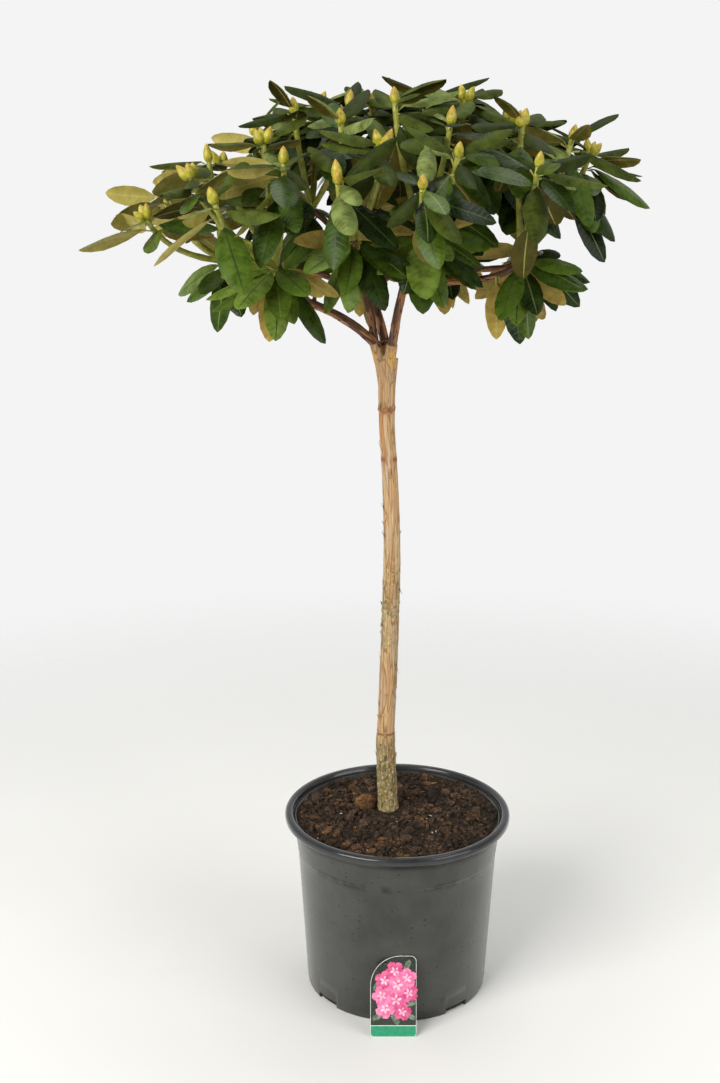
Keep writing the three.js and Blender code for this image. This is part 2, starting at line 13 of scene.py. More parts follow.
import bmesh
import bpy
import numpy as np
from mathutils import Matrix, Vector, noise


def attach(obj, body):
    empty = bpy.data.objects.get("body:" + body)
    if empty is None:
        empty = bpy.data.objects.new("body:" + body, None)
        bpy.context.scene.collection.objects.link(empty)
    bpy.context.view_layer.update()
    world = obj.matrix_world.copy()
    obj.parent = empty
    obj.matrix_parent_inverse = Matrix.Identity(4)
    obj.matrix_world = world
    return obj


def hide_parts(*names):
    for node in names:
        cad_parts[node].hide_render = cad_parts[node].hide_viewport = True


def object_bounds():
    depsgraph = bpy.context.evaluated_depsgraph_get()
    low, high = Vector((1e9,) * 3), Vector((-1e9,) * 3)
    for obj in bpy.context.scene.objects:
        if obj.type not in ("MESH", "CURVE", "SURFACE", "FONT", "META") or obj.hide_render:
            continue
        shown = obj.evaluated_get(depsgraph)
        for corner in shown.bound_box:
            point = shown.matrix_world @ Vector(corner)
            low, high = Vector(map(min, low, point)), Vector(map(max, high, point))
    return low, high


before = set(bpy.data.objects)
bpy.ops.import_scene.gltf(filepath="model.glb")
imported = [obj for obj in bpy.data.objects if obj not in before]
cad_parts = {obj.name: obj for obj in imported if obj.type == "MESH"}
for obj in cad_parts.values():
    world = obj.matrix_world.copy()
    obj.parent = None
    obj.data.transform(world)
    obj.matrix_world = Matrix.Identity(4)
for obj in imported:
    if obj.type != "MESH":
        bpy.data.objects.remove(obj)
cad_low, cad_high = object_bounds()
print("solids:", len(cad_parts), "size", [round(h - l, 3) for l, h in zip(cad_low, cad_high)])

MM = 0.001
GOLDEN_TURN = 137.508  # degrees between successive leaves round a shoot
FULL_TURN = 2 * math.pi

# %% [markdown]
# ## Camera and light
#
# A camera with a normal 50 mm lens stands two metres in front, as high as the upper crown, and looks
# slightly down. The light is a studio's: one wide soft lamp high on the left, a weaker one on the
# right and one overhead. The room itself is white behind the plant and dimmer behind the camera, so
# glossy leaves and the pot's sides have something bright to mirror and their fronts stay dark.

# %% Camera
CAMERA_PLACE = (-0.0565, -2.095, 1.272)
CAMERA_PITCH = 15.29  # degrees below level
lens = bpy.data.cameras.new("camera")
lens.lens = 50
camera = bpy.data.objects.new("camera", lens)
camera.location = CAMERA_PLACE
camera.rotation_euler = (math.radians(90 - CAMERA_PITCH), 0, 0)
bpy.context.collection.objects.link(camera)
bpy.context.scene.camera = camera

# %% Lamps
# name, place, the point it faces, side of its square and power, in metres and watts, and colour
LAMPS = [
    ("key_lamp", (-2.1, -2.4, 2.2), (0, 0, 0.8), 2.3, 134, (1, 0.985, 0.95)),
    ("fill_lamp", (2.5, -1.8, 1.7), (0, 0, 0.8), 2.3, 50, (1, 0.99, 0.97)),
    ("top_lamp", (0.3, 0.7, 3.8), (0, 0, 1.1), 2.0, 34, (1, 1, 0.99)),
]
for name, place, aim, size, power, colour in LAMPS:
    light = bpy.data.lights.new(name, "AREA")
    light.size = size
    light.energy = power
    light.color = colour
    lamp = bpy.data.objects.new(name, light)
    lamp.location = place
    lamp.rotation_euler = (Vector(aim) - Vector(place)).to_track_quat("-Z", "Y").to_euler()
    bpy.context.collection.objects.link(lamp)
print("lamps:", len(LAMPS))

# %% [markdown]
# ## Helpers for finishes
#
# Every colour is written as the hex value a paint program shows. Blender's shaders need linear
# light, so one function converts it. One more sets the sockets of a node, and one adds a node with
# its settings and links. They are enough for every material here.
#
# A Mix node has sockets for numbers, vectors and colours under the same names, so its colour sockets
# go by number: 0 is the factor, 6 and 7 are the two colours, and output 2 is the mixed one.


# %% Colour and node helpers
def linear(hex_colour):
    """An sRGB hex colour as linear red, green, blue and alpha."""
    shares = [int(hex_colour[i : i + 2], 16) / 255 for i in (1, 3, 5)]
    return (*[c / 12.92 if c <= 0.04045 else ((c + 0.055) / 1.055) ** 2.4 for c in shares], 1)


def set_sockets(finish, node, sockets):
    """Gives sockets, by name or in order, a value, a hex colour or another node's output."""
    for name, value in sockets.items() if isinstance(sockets, dict) else enumerate(sockets):
        if isinstance(value, bpy.types.NodeSocket):
            finish.node_tree.links.new(value, node.inputs[name])
        else:
            node.inputs[name].default_value = linear(value) if isinstance(value, str) else value


def add_node(finish, kind, sockets=(), stops=(), out=0, **settings):
    """Adds one node and returns the output asked for, or the node. Stops are the colours of a ramp."""
    node = finish.node_tree.nodes.new("ShaderNode" + kind)
    for name, value in settings.items():
        setattr(node, name, value)
    set_sockets(finish, node, sockets)
    for i, (place, colour) in enumerate(stops):
        ramp = node.color_ramp.elements
        stop = ramp[i] if i < len(ramp) else ramp.new(1)
        stop.position, stop.color = place, linear(colour)
    return node if out is None else node.outputs[out]


def new_finish(name):
    """A new material and its Principled shader, whose sockets are set once their nodes are made."""
    finish = bpy.data.materials.new(name)
    finish.use_nodes = True
    finish.node_tree.nodes.clear()
    shader = add_node(finish, "BsdfPrincipled", out=None)
    add_node(finish, "OutputMaterial", {"Surface": shader.outputs["BSDF"]}, out=None)
    return finish, shader


# %% Room
# how far round from the front to the back, and the tint there
ROOM_TINTS = [(0.1, "#868684"), (0.5, "#cfcfcd"), (0.85, "#f4f4f4")]
# The room dims upwards: the upward share of a direction where that begins and where it ends, and the
# brightness from there on.
WALL_TOP, CEILING, CEILING_LIGHT = 0.14, 0.5, 0.5
room = bpy.data.worlds.new("pale_room")
room.use_nodes = True
room.node_tree.nodes.clear()
parts = add_node(room, "SeparateXYZ", {"Vector": add_node(room, "TexCoord", out="Generated")}, out=None)
backward = add_node(room, "MapRange", [parts.outputs["Y"], -1, 1])
shade = add_node(room, "ValToRGB", {"Fac": backward}, ROOM_TINTS)
dimming = [parts.outputs["Z"], WALL_TOP, CEILING, 1, CEILING_LIGHT]
upward = add_node(room, "MapRange", dimming, interpolation_type="SMOOTHSTEP")
glow = add_node(room, "Background", {"Color": shade, "Strength": upward})
add_node(room, "OutputWorld", {"Surface": glow}, out=None)
bpy.context.scene.world = room
bpy.context.scene.view_settings.view_transform = "Standard"

# %% [markdown]
# ## Helpers for meshes
#
# Shapes start as bmesh primitives. Two ways of using them come back all through the scene. A
# cylinder whose rings are laid along a curve makes the stem, the limbs and the shoots. And one
# small shape, read off as arrays of numbers, is repeated hundreds of times in a single mesh, which
# is how the leaves, buds, bark flakes and crumbs are made.


# %% Mesh helpers
def piece_from(bm, name, finishes, smooth=True):
    """Turns a bmesh into an object that rides with the plant."""
    mesh = bpy.data.meshes.new(name)
    bm.to_mesh(mesh)
    bm.free()
    return place_piece(mesh, name, finishes, smooth)


def place_piece(mesh, name, finishes, smooth=True):
    """Makes an object of a mesh, and lets it ride with the plant."""
    piece = bpy.data.objects.new(name, mesh)
    bpy.context.collection.objects.link(piece)
    for finish in finishes:
        mesh.materials.append(finish)
    if smooth:
        mesh.shade_smooth()
    else:
        mesh.shade_flat()
    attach(piece, "root")
    return piece


def ring_frames(centres):
    """Two directions square to a line at each of its points, turned as little as possible."""
    centres = np.asarray(centres, float)
    last = len(centres) - 1
    sides, acrosses = [], []
    for i in range(last + 1):
        along = centres[min(i + 1, last)] - centres[max(i - 1, 0)]
        along /= np.linalg.norm(along)
        # The first side starts from any direction that isn't nearly along the line.
        start = sides[-1] if sides else np.array([1.0, 0, 0] if abs(along[0]) < 0.9 else [0, 1.0, 0])
        side = start - along * start.dot(along)
        side /= np.linalg.norm(side)
        sides.append(side)
        acrosses.append(np.cross(along, side))
    return np.array(sides), np.array(acrosses)


def add_tube(bm, centres, radii, sides):
    """Adds a closed tapering tube: a cylinder with one ring of corners for each centre."""
    steps = len(centres) - 1
    side, across = ring_frames(centres)
    tube = bmesh.new()
    bmesh.ops.create_cone(tube, cap_ends=True, segments=sides, radius1=1, radius2=1, depth=steps)
    upright = [e for e in tube.edges if abs(e.verts[0].co.z - e.verts[1].co.z) > 0.5]
    if steps > 1:
        bmesh.ops.subdivide_edges(tube, edges=upright, cuts=steps - 1)
    for corner in tube.verts:
        ring = round(corner.co.z + steps / 2)
        spoke = side[ring] * corner.co.x + across[ring] * corner.co.y
        corner.co = Vector((np.asarray(centres[ring]) + spoke * radii[ring]) * MM)
    add_to(bm, tube)


def add_to(bm, other):
    """Moves all of one bmesh into another."""
    scrap = bpy.data.meshes.new("scrap")
    other.to_mesh(scrap)
    other.free()
    bm.from_mesh(scrap)
    bpy.data.meshes.remove(scrap)


def shape_arrays(bm):
    """Reads a bmesh as arrays: corners, the corners of each face in turn, and face sizes."""
    bm.verts.index_update()
    corners = np.array([v.co for v in bm.verts])
    loops = np.array([v.index for f in bm.faces for v in f.verts])
    sizes = np.array([len(f.verts) for f in bm.faces])
    bm.free()
    return corners, loops, sizes


def repeated_mesh(name, places, loops, sizes, slots, sharp=None, marks=None):
    """One mesh of many copies of a shape. places is copies x corners x 3, slots copies x faces."""
    copies, corners = places.shape[:2]
    mesh = bpy.data.meshes.new(name)
    mesh.vertices.add(copies * corners)
    mesh.vertices.foreach_set("co", places.astype(np.float32).ravel())
    all_loops = (loops[None] + np.arange(copies)[:, None] * corners).ravel()
    all_sizes = np.tile(sizes, copies)
    mesh.loops.add(len(all_loops))
    mesh.loops.foreach_set("vertex_index", all_loops.astype(np.int32))
    mesh.polygons.add(len(all_sizes))
    mesh.polygons.foreach_set("loop_start", (np.cumsum(all_sizes) - all_sizes).astype(np.int32))
    mesh.polygons.foreach_set("material_index", slots.astype(np.int32).ravel())
    mesh.update(calc_edges=True)
    if sharp is not None:
        ends = np.empty(len(mesh.edges) * 2, np.int32)
        mesh.edges.foreach_get("vertices", ends)
        on_rim = sharp[ends % corners].reshape(-1, 2).all(1)
        mesh.attributes.new("sharp_edge", "BOOLEAN", "EDGE").data.foreach_set("value", on_rim)
    if marks is not None:
        blade = mesh.attributes.new("blade", "FLOAT_VECTOR", "POINT")
        blade.data.foreach_set("vector", np.tile(marks, (copies, 1)).astype(np.float32).ravel())
    return mesh


# %% [markdown]
# ## How the plant grows
#
# These are the plant's own sizes, in millimetres, and the rule that places its limbs, shoots and
# leaves. They are the ones that the solids were grown by, with the same dice, so every leaf of the
# solids comes back here in its place.

# %% Sizes of stem and limbs
STEM_LINE = [
    (-13.2, 24, 268), (-17.6, 24, 389), (-14.9, 24, 462), (-11, 24, 603), (-9.8, 24, 695),
    (-11.6, 24, 755), (-14.8, 23, 814), (-17.8, 20, 858), (-18.8, 18, 930), (-19.5, 18, 966),
]
# height and radius
STEM_RADII = [
    (268, 16.3), (280, 14.9), (388, 14.7), (396, 13.3), (545, 13.3), (650, 12.7), (757, 11.8), (811, 11.4),
    (817, 12.2), (824, 11.4), (884, 11.6), (890, 12.8), (897, 11.9), (925, 12.5), (945, 15), (966, 18),
]
FORK = {"height": 984, "spread": 17, "root_height": 930, "root_radius": 10, "radius": 7.6}
CROWN = {
    "x": -38, "y": 5, "tips": 41, "tip_radius": 320, "crowding": 0.54, "top": 1311, "fall": 0.00115,
    "tilt": 0.1, "turn": 95, "tip_jitter": 9, "height_jitter": 11, "seed": 20,
}
# name: limb it leaves, share of that limb, bearing, reach, height, rise, radius
LIMBS = {
    "left": ("stem", 0, 188, 196, 1094, 46, 7.2),
    "front": ("stem", 0, 299, 122, 1138, 66, 7.2),
    "back": ("stem", 0, 98, 168, 1100, 52, 7),
    "centre": ("stem", 0, 168, 78, 1160, 84, 6.4),
    "left_front": ("left", 0.46, 226, 180, 1096, 30, 5.2),
    "back_left": ("back", 0.4, 144, 176, 1100, 35, 5.4),
    "back_right": ("back", 0.5, 58, 176, 1102, 35, 5.4),
    "right_front": ("front", 0.42, 336, 204, 1098, 24, 5.6),
    "right": ("right_front", 0.4, 12, 216, 1100, 30, 5),
    "front_left": ("centre", 0.36, 258, 118, 1130, 42, 5.2),
    "top_right": ("centre", 0.5, 10, 84, 1164, 55, 5),
    "top_back": ("centre", 0.62, 92, 84, 1158, 55, 4.8),
}
BEARING, REACH, RADIUS = 2, 3, 6  # where these stand in a limb's line
LIMB = {"knot_radius": 4.4, "steps": 4, "set_off": 0.38, "arrive": 0.3, "outward": 0.7, "upward": 0.55}
GAP = 0.3

# %% Sizes of shoots and leaves
SHOOT = {
    "root": 3.6, "tip": 3, "steps": 3, "stem": 16, "leave_at": 0.7, "outward": 0.2, "follow": 0.55,
    "splay": 0.0006, "bend": 0.45,
}
ROSETTE = {
    "leaves": 7, "depth": 25, "lowest": -30, "highest": 28, "scatter": 8, "inner": 0.78, "below": 0.04,
}
HANGING = {
    "leaves": 9, "size": 0.98, "lifts": (-48, -70, -14), "scatter": 8, "from": 0.15, "to": 0.75,
    "inward_skip": 0.3,
}
LEAF = {
    "length": 104, "vary": 8, "width": 0.37, "corners": 6, "bulge": 1.08, "root_depth": 0.6,
    "thickest": 0.42, "droop": 0.13, "cup": 0.1, "roll": 16, "clearance": 2, "free_from": 0.08,
}
# turn, lift and size of each try to place a leaf
LEAF_TRIES = [
    (0, 0, 1), (14, 5, 0.98), (-14, -5, 0.98), (30, -4, 0.96), (-30, 4, 0.96), (0, 20, 0.92),
    (24, 26, 0.88), (-24, 30, 0.86), (52, 10, 0.86), (-52, 14, 0.86), (0, 42, 0.8), (80, -8, 0.84),
    (-80, -8, 0.84), (36, 46, 0.78), (-36, 46, 0.78), (115, 6, 0.8), (-115, 6, 0.8),
]


# %% Dice and directions
class Dice:
    """The solids' own number generator, so that both grow the same plant."""

    def __init__(self, seed):
        self.state = seed

    def chance(self):
        """The next number from 0 to 1."""
        self.state = (self.state * 1664525 + 1013904223) & 0xFFFFFFFF
        return self.state / 4294967296

    def vary(self, amount):
        """A number up to this amount above or below zero."""
        return (self.chance() * 2 - 1) * amount


UP = np.array([0.0, 0.0, 1.0])
CROWN_AXIS = np.array([CROWN["x"], CROWN["y"], 0.0])


def mix(a, b, t):
    """What lies the share t of the way from a to b."""
    return a + (b - a) * t


def bearing(degrees):
    """The level direction at an angle from east, counted through the back."""
    return np.array([math.cos(math.radians(degrees)), math.sin(math.radians(degrees)), 0.0])


def unit(v):
    """The direction of a vector, one long."""
    return v / np.linalg.norm(v)


def bezier(points, t):
    """A point of a Bezier curve, by halving its frame until one point is left."""
    points = [np.asarray(p, float) for p in points]
    while len(points) > 1:
        points = [a + (b - a) * t for a, b in zip(points, points[1:])]
    return points[0]


# %% Centre lines of the limbs
fork_top = np.array([STEM_LINE[-1][0], STEM_LINE[-1][1], FORK["height"]], float)


def limb_frame(name):
    """The four Bezier points of a limb's centre line."""
    parent, at, angle, reach, height, rise, _ = LIMBS[name]
    knot = CROWN_AXIS + bearing(angle) * reach + UP * height
    if parent == "stem":
        start = fork_top + bearing(angle) * FORK["spread"]
    else:
        start = bezier(limb_frame(parent), at)
    outward = knot - start
    outward[2] = 0
    outward = unit(outward)
    set_off = outward * math.cos(math.radians(rise)) + UP * math.sin(math.radians(rise))
    arrive = unit(outward * LIMB["outward"] + UP * LIMB["upward"])
    span = np.linalg.norm(knot - start)
    return [start, start + set_off * span * LIMB["set_off"], knot - arrive * span * LIMB["arrive"], knot]


limb_frames = {name: limb_frame(name) for name in LIMBS}


def mass_stem(name):
    """Start and end of the short stem that a mass's shoots leave."""
    knot = limb_frames[name][3]
    arrive = unit(knot - limb_frames[name][2])
    return knot + arrive * GAP, knot + arrive * SHOOT["stem"]


print("limbs:", len(limb_frames), "knots from", round(min(f[3][2] for f in limb_frames.values())), "mm up")

# %% [markdown]
# ## Where leaves may lie
#
# Each leaf is tried in up to seventeen places. A place is good when the leaf stays in its own part
# of the crown, clears limbs and other shoots, and doesn't pass through another leaf. A coarse
# six-cornered leaf is enough for that test.


# %% Coarse leaf and its tests
def leaf_point(leaf, share, side, lift):
    """Points of a leaf: share of the way to its tip, side of its half width, lift off its middle."""
    share, side, lift = (np.asarray(v, float)[..., None] for v in (share, side, lift))
    length = leaf["length"]
    across = np.cross(leaf["along"], leaf["face"])
    sag = LEAF["droop"] * length * share**2 + LEAF["cup"] * length * LEAF["width"] * abs(side)
    forward = leaf["along"] * (length * share - LEAF["root_depth"] * (1 - share))
    aside = across * (side * length * LEAF["width"] / 2)
    return leaf["root"] + forward + leaf["face"] * (lift - sag) + aside


rim_angles = np.arange(LEAF["corners"]) * FULL_TURN / LEAF["corners"]
RIM_SHARES = (1 - np.cos(rim_angles)) / 2
RIM_SIDES = LEAF["bulge"] * np.sin(rim_angles)


def leaf_sheet(leaf):
    """The outline and the middle of a leaf, and the outline with its stalk left free to meet others."""
    rim = leaf_point(leaf, RIM_SHARES, RIM_SIDES, np.zeros(LEAF["corners"]))
    middle = leaf_point(leaf, LEAF["thickest"], 0, 0)
    free = rim.copy()
    free[0] = mix(free[0], middle, LEAF["free_from"] / LEAF["thickest"])
    return rim, free, middle


def pierces(p, q, a, b, c):
    """True where the segment p to q passes through the triangle a, b, c."""
    ray, ab, ac, start = q - p, b - a, c - a, p - a
    normal = np.cross(ray, ac)
    slant = (ab * normal).sum(-1)
    slant = np.where(abs(slant) < 1e-9, np.nan, slant)
    turned = np.cross(start, ab)
    u = (start * normal).sum(-1) / slant
    v = (ray * turned).sum(-1) / slant
    t = (ac * turned).sum(-1) / slant
    return (u >= 0) & (v >= 0) & (u + v <= 1) & (t >= 0) & (t <= 1)


NEAR = 1.5 * LEAF["length"]  # leaves whose middles are further apart than this don't meet


def crosses_any(free, middle, others):
    """True where a leaf's sheet passes through one of the leaves placed before."""
    if not others:
        return False
    frees = np.array([other[0] for other in others])
    middles = np.array([other[1] for other in others])
    near = np.linalg.norm(middles - middle, axis=1) <= NEAR
    if not near.any():
        return False
    frees, middles = frees[near], middles[near]
    own_next, next_ones = np.roll(free, -1, 0), np.roll(frees, -1, 1)
    theirs = middles[:, None, None], frees[:, None], next_ones[:, None]
    one = pierces(free[None, :, None], own_next[None, :, None], *theirs)
    own = middle[None, None, None], free[None, None], own_next[None, None]
    other = pierces(frees[:, :, None], next_ones[:, :, None], *own)
    return bool(one.any() or other.any())


def rods_along(centres, radii):
    """A limb or shoot as the lines and radii that leaves keep clear of."""
    wide = np.maximum(radii[:-1], radii[1:]) + LEAF["clearance"]
    return [(a, b, r) for a, b, r in zip(centres[:-1], centres[1:], wide)]


def touches(rim, middle, rods):
    """True where a leaf comes too near one of the rods."""
    following = np.roll(rim, -1, 0)
    spots = np.concatenate([rim, (rim + following) / 2, (rim + middle) / 2, middle[None]])
    starts = np.array([rod[0] for rod in rods])
    spans = np.array([rod[1] for rod in rods]) - starts
    radii = np.array([rod[2] for rod in rods])
    away = spots[:, None] - starts[None]
    along = np.clip((away * spans).sum(-1) / (spans * spans).sum(-1), 0, 1)
    return bool((np.linalg.norm(away - along[..., None] * spans, axis=-1) < radii).any())


mass_places = [CROWN_AXIS + bearing(l[BEARING]) * l[REACH] * (1 + SHOOT["outward"]) for l in LIMBS.values()]
mass_centres = np.array(mass_places)[:, :2]


def in_cell(points, index):
    """True where every point lies in the given mass's own part of the crown."""
    own = mass_centres[index]
    for i, other in enumerate(mass_centres):
        if i == index:
            continue
        across = other - own
        wall = np.linalg.norm(across) / 2 - GAP
        if ((points[:, :2] - own) @ unit(across) >= wall).any():
            return False
    return True


# %% [markdown]
# ## Shoots and leaves
#
# Forty-one shoot tips are spread over the crown's dome like the seeds of a sunflower, and each
# belongs to the nearest knot. A rosette of leaves sits under each tip, and older leaves hang round
# the knot.


# %% Shoot tips
def crown_height(place):
    """How high the dome of shoot tips lies above one place."""
    away = place - CROWN_AXIS
    return CROWN["top"] + CROWN["tilt"] * away[0] - CROWN["fall"] * (away[0] ** 2 + away[1] ** 2)


def shoot_tips():
    """The tips of each mass's shoots."""
    dice = Dice(CROWN["seed"])
    tips = [[] for _ in LIMBS]
    for i in range(CROWN["tips"]):
        share = (i + 0.5) / CROWN["tips"]
        radius = CROWN["tip_radius"] * share ** CROWN["crowding"] + dice.vary(CROWN["tip_jitter"])
        tip = CROWN_AXIS + bearing(CROWN["turn"] + GOLDEN_TURN * i) * radius
        tip[2] = crown_height(tip) + dice.vary(CROWN["height_jitter"])
        nearest = np.argmin(np.linalg.norm(mass_centres - tip[:2], axis=1))
        tips[nearest].append(tip)
    return tips


def level_out(place):
    """The level direction from the crown's axis to a place."""
    return unit((place - CROWN_AXIS) * (1, 1, 0))


def square_to(axis, outward):
    """Two directions square to an axis, the first as near as it can be to the one given."""
    first = unit(outward - axis * outward.dot(axis))
    return first, np.cross(axis, first)


def leaf_spot(kind, owner, root, axis, outward, angle, lift, length, roll):
    """One place for a leaf: its angle round an axis, its lift from square to it, its length."""
    first, second = square_to(axis, outward)
    spot = {"kind": kind, "owner": owner, "root": root, "axis": axis, "first": first, "second": second}
    return spot | {"angle": angle, "lift": lift, "length": length, "roll": roll}


LINE_SAMPLES = 201  # to measure a shoot's length


def rosette_spots(frame_points, axis, outward, owner, dice):
    """The places of the leaves round the end of a shoot, from the lowest to the highest."""
    turn = dice.chance() * 360
    shoot_line = np.array([bezier(frame_points, t) for t in np.linspace(0, 1, LINE_SAMPLES)])
    reach = ROSETTE["depth"] / np.linalg.norm(np.diff(shoot_line, axis=0), axis=1).sum()
    spots = []
    for j in range(ROSETTE["leaves"]):
        t = j / (ROSETTE["leaves"] - 1)
        lift = mix(ROSETTE["lowest"], ROSETTE["highest"], t) + dice.vary(ROSETTE["scatter"])
        length = (LEAF["length"] + dice.vary(LEAF["vary"])) * mix(1, ROSETTE["inner"], t * t)
        root = bezier(frame_points, 1 - reach * mix(1, ROSETTE["below"], t))
        roll = dice.vary(LEAF["roll"])
        angle = turn + GOLDEN_TURN * j
        spots.append(leaf_spot("rosette", owner, root, axis, outward, angle, lift, length, roll))
    return spots


def hanging_spots(start, end, outward, dice):
    """The places of last year's leaves, which hang round the knot."""
    turn = dice.chance() * 360
    spots = []
    for j in range(HANGING["leaves"]):
        angle = turn + GOLDEN_TURN * j
        lift = HANGING["lifts"][j % len(HANGING["lifts"])] + dice.vary(HANGING["scatter"])
        length = LEAF["length"] * HANGING["size"] + dice.vary(LEAF["vary"])
        roll = dice.vary(LEAF["roll"])
        luck = dice.chance()
        if luck > HANGING["inward_skip"] or math.cos(math.radians(angle)) > 0:
            root = mix(start, end, mix(HANGING["from"], HANGING["to"], j / (HANGING["leaves"] - 1)))
            spots.append(leaf_spot("hanging", None, root, UP, outward, angle, lift, length, roll))
    return spots


# %% Placing a leaf
def turned_about(v, axis, degrees):
    """Turns a vector about an axis, by Rodrigues' formula."""
    angle = math.radians(degrees)
    flat = v * math.cos(angle) + np.cross(axis, v) * math.sin(angle)
    return flat + axis * axis.dot(v) * (1 - math.cos(angle))


def place_leaf(spot, rods, others, cell):
    """The first good place for a leaf, or None. Without a cell it may lie anywhere in the crown."""
    clear_of = [rod for owner, rod in rods if owner is None or owner != spot["owner"]]
    for turn, lift, size in LEAF_TRIES:
        angle = math.radians(spot["angle"] + turn)
        rise = math.radians(spot["lift"] + lift)
        out = spot["first"] * math.cos(angle) + spot["second"] * math.sin(angle)
        along = out * math.cos(rise) + spot["axis"] * math.sin(rise)
        face = turned_about(spot["axis"] * math.cos(rise) - out * math.sin(rise), along, spot["roll"])
        leaf = {**spot, "along": along, "face": face, "length": spot["length"] * size}
        rim, free, middle = leaf_sheet(leaf)
        if cell is not None and not in_cell(np.vstack([rim, middle]), cell):
            continue
        if touches(free, middle, clear_of) or crosses_any(free, middle, others):
            continue
        others.append((free, middle))
        return leaf
    return None


# %% Growing every mass
SEED_STEP = 977  # between the seeds of two masses
limb_rods = []
for name, points in limb_frames.items():
    shares = np.linspace(0, 1, LIMB["steps"] + 1)
    centres = np.array([bezier(points, t) for t in shares])
    radii = mix(LIMBS[name][RADIUS], LIMB["knot_radius"], shares)
    limb_rods += [(None, rod) for rod in rods_along(centres, radii)]

tips_of = shoot_tips()
shoots, leaves, missed, all_sheets, all_rods = [], [], [], [], list(limb_rods)
for index, name in enumerate(LIMBS):
    dice = Dice(CROWN["seed"] + SEED_STEP * (index + 1))
    start, end = mass_stem(name)
    spots = hanging_spots(start, end, level_out(limb_frames[name][3]), dice)
    rods, sheets = [], []
    for owner, tip in enumerate(tips_of[index]):
        root = mix(start, end, SHOOT["leave_at"])
        span = np.linalg.norm(tip - root)
        tip_out = (tip - CROWN_AXIS) * (1, 1, 0)
        axis = unit(unit(tip - root) * SHOOT["follow"] + UP + tip_out * SHOOT["splay"])
        points = [root, tip - axis * span * SHOOT["bend"], tip]
        shares = np.linspace(0, 1, SHOOT["steps"] + 1)
        centres = np.array([bezier(points, t) for t in shares])
        radii = mix(SHOOT["root"], SHOOT["tip"], shares)
        rods += [((index, owner), rod) for rod in rods_along(centres, radii)]
        spots += rosette_spots(points, axis, unit(tip_out), (index, owner), dice)
        shoots.append({"mass": name, "points": points, "axis": axis, "owner": (index, owner)})
    for spot in spots:
        leaf = place_leaf(spot, limb_rods + rods, sheets, index)
        if leaf is None:
            missed.append({**spot, "mass": name})
        else:
            leaves.append({**leaf, "mass": name})
    all_sheets += sheets
    all_rods += rods
print("as in the solids:", len(shoots), "shoots and", len(leaves), "leaves;", len(missed), "found no room")

# %% [markdown]
# The solids leave out every leaf that would reach into a neighbouring mass, and keep to seven leaves
# a rosette. A real crown's rosettes mesh, and older leaves stand part of the way down the shoots and
# limbs. So the missed leaves get a second chance anywhere in the crown, and each rosette, shoot, knot
# and limb may take some more, as far as they find room. The crown isn't even: it is thin at its left
# end and full at its right, and its front shows the green shoots bare.

# %% Filling the crown
# leaves tried at each, lowest and highest lift, and shortest and longest as shares of a leaf
FILL = {
    "rosette": (4, (-8, 34), (0.7, 0.95)),
    "shoot": (3, (-58, 8), (0.8, 1)),
    "knot": (9, (-80, -16), (0.84, 1.04)),
    "limb": (2, (-74, -30), (0.8, 1)),
}
SHOOT_LEAVES = (0.5, 0.86)  # the part of a shoot that older leaves stand on
LIMB_LEAVES = (0.7, 0.94)  # and the part of a limb
ROSETTE_LEAVES = 0.14  # and the length of a shoot's end that its rosette takes up
CROWDING = [(-200, 0.3), (10, 1), (200, 2.2), (math.inf, 3.4)]  # up to each x, so many times as many
BARE_FROM, BARE_SHARE = -60, 0.2  # in front of this y, shoots and rosettes take so many times as many
STANDS_OUT = 40  # millimetres that a leaf's tip may rise above the dome of shoot tips
SLACK = 4  # millimetres that a leaf may pass the solids' box
reach_low, reach_high = np.array(cad_low) / MM, np.array(cad_high) / MM
dice = Dice(71)


def fill_spots(kind, mass, owner, axis, outward, root_at):
    """More places for leaves all round a shoot, a knot or a limb."""
    count, lifts, lengths = FILL[kind]
    x, y, _ = root_at(0.5)
    share = next(share for edge, share in CROWDING if x < edge)
    share *= BARE_SHARE if y < BARE_FROM and kind in ("rosette", "shoot") else 1
    spots = []
    for _ in range(round(count * share)):
        root, angle = root_at(dice.chance()), dice.chance() * 360
        lift, length = mix(*lifts, dice.chance()), LEAF["length"] * mix(*lengths, dice.chance())
        spot = leaf_spot(kind, owner, root, axis, outward, angle, lift, length, dice.vary(LEAF["roll"]))
        spots.append({**spot, "mass": mass})
    return spots


def within_reach(leaf):
    """True where a leaf stays near the dome of shoot tips and in the solids' box."""
    points = leaf_sheet(leaf)[0]
    tip = leaf["root"] + leaf["along"] * leaf["length"]
    low_enough = tip[2] < crown_height(tip) + STANDS_OUT
    return bool(low_enough and (points > reach_low - SLACK).all() and (points < reach_high + SLACK).all())


extra = []
for shoot in shoots:
    points, axis, whose = shoot["points"], shoot["axis"], (shoot["mass"], shoot["owner"])
    outward = level_out(points[2])
    extra += fill_spots("rosette", *whose, axis, outward, lambda t: bezier(points, 1 - ROSETTE_LEAVES * t))
    extra += fill_spots("shoot", *whose, UP, outward, lambda t: bezier(points, mix(*SHOOT_LEAVES, t)))
for name, points in limb_frames.items():
    start, end = mass_stem(name)
    outward = level_out(points[3])
    extra += fill_spots("knot", name, None, UP, outward, lambda t: mix(start, end, t))
    extra += fill_spots("limb", name, None, UP, outward, lambda t: bezier(points, mix(*LIMB_LEAVES, t)))
placed = [place_leaf(spot, all_rods, all_sheets, None) for spot in missed + extra]
filled = [leaf for leaf in placed if leaf and within_reach(leaf)]
leaves += filled
print("filled in:", len(filled), "leaves of", len(missed) + len(extra), "tried, now", len(leaves))

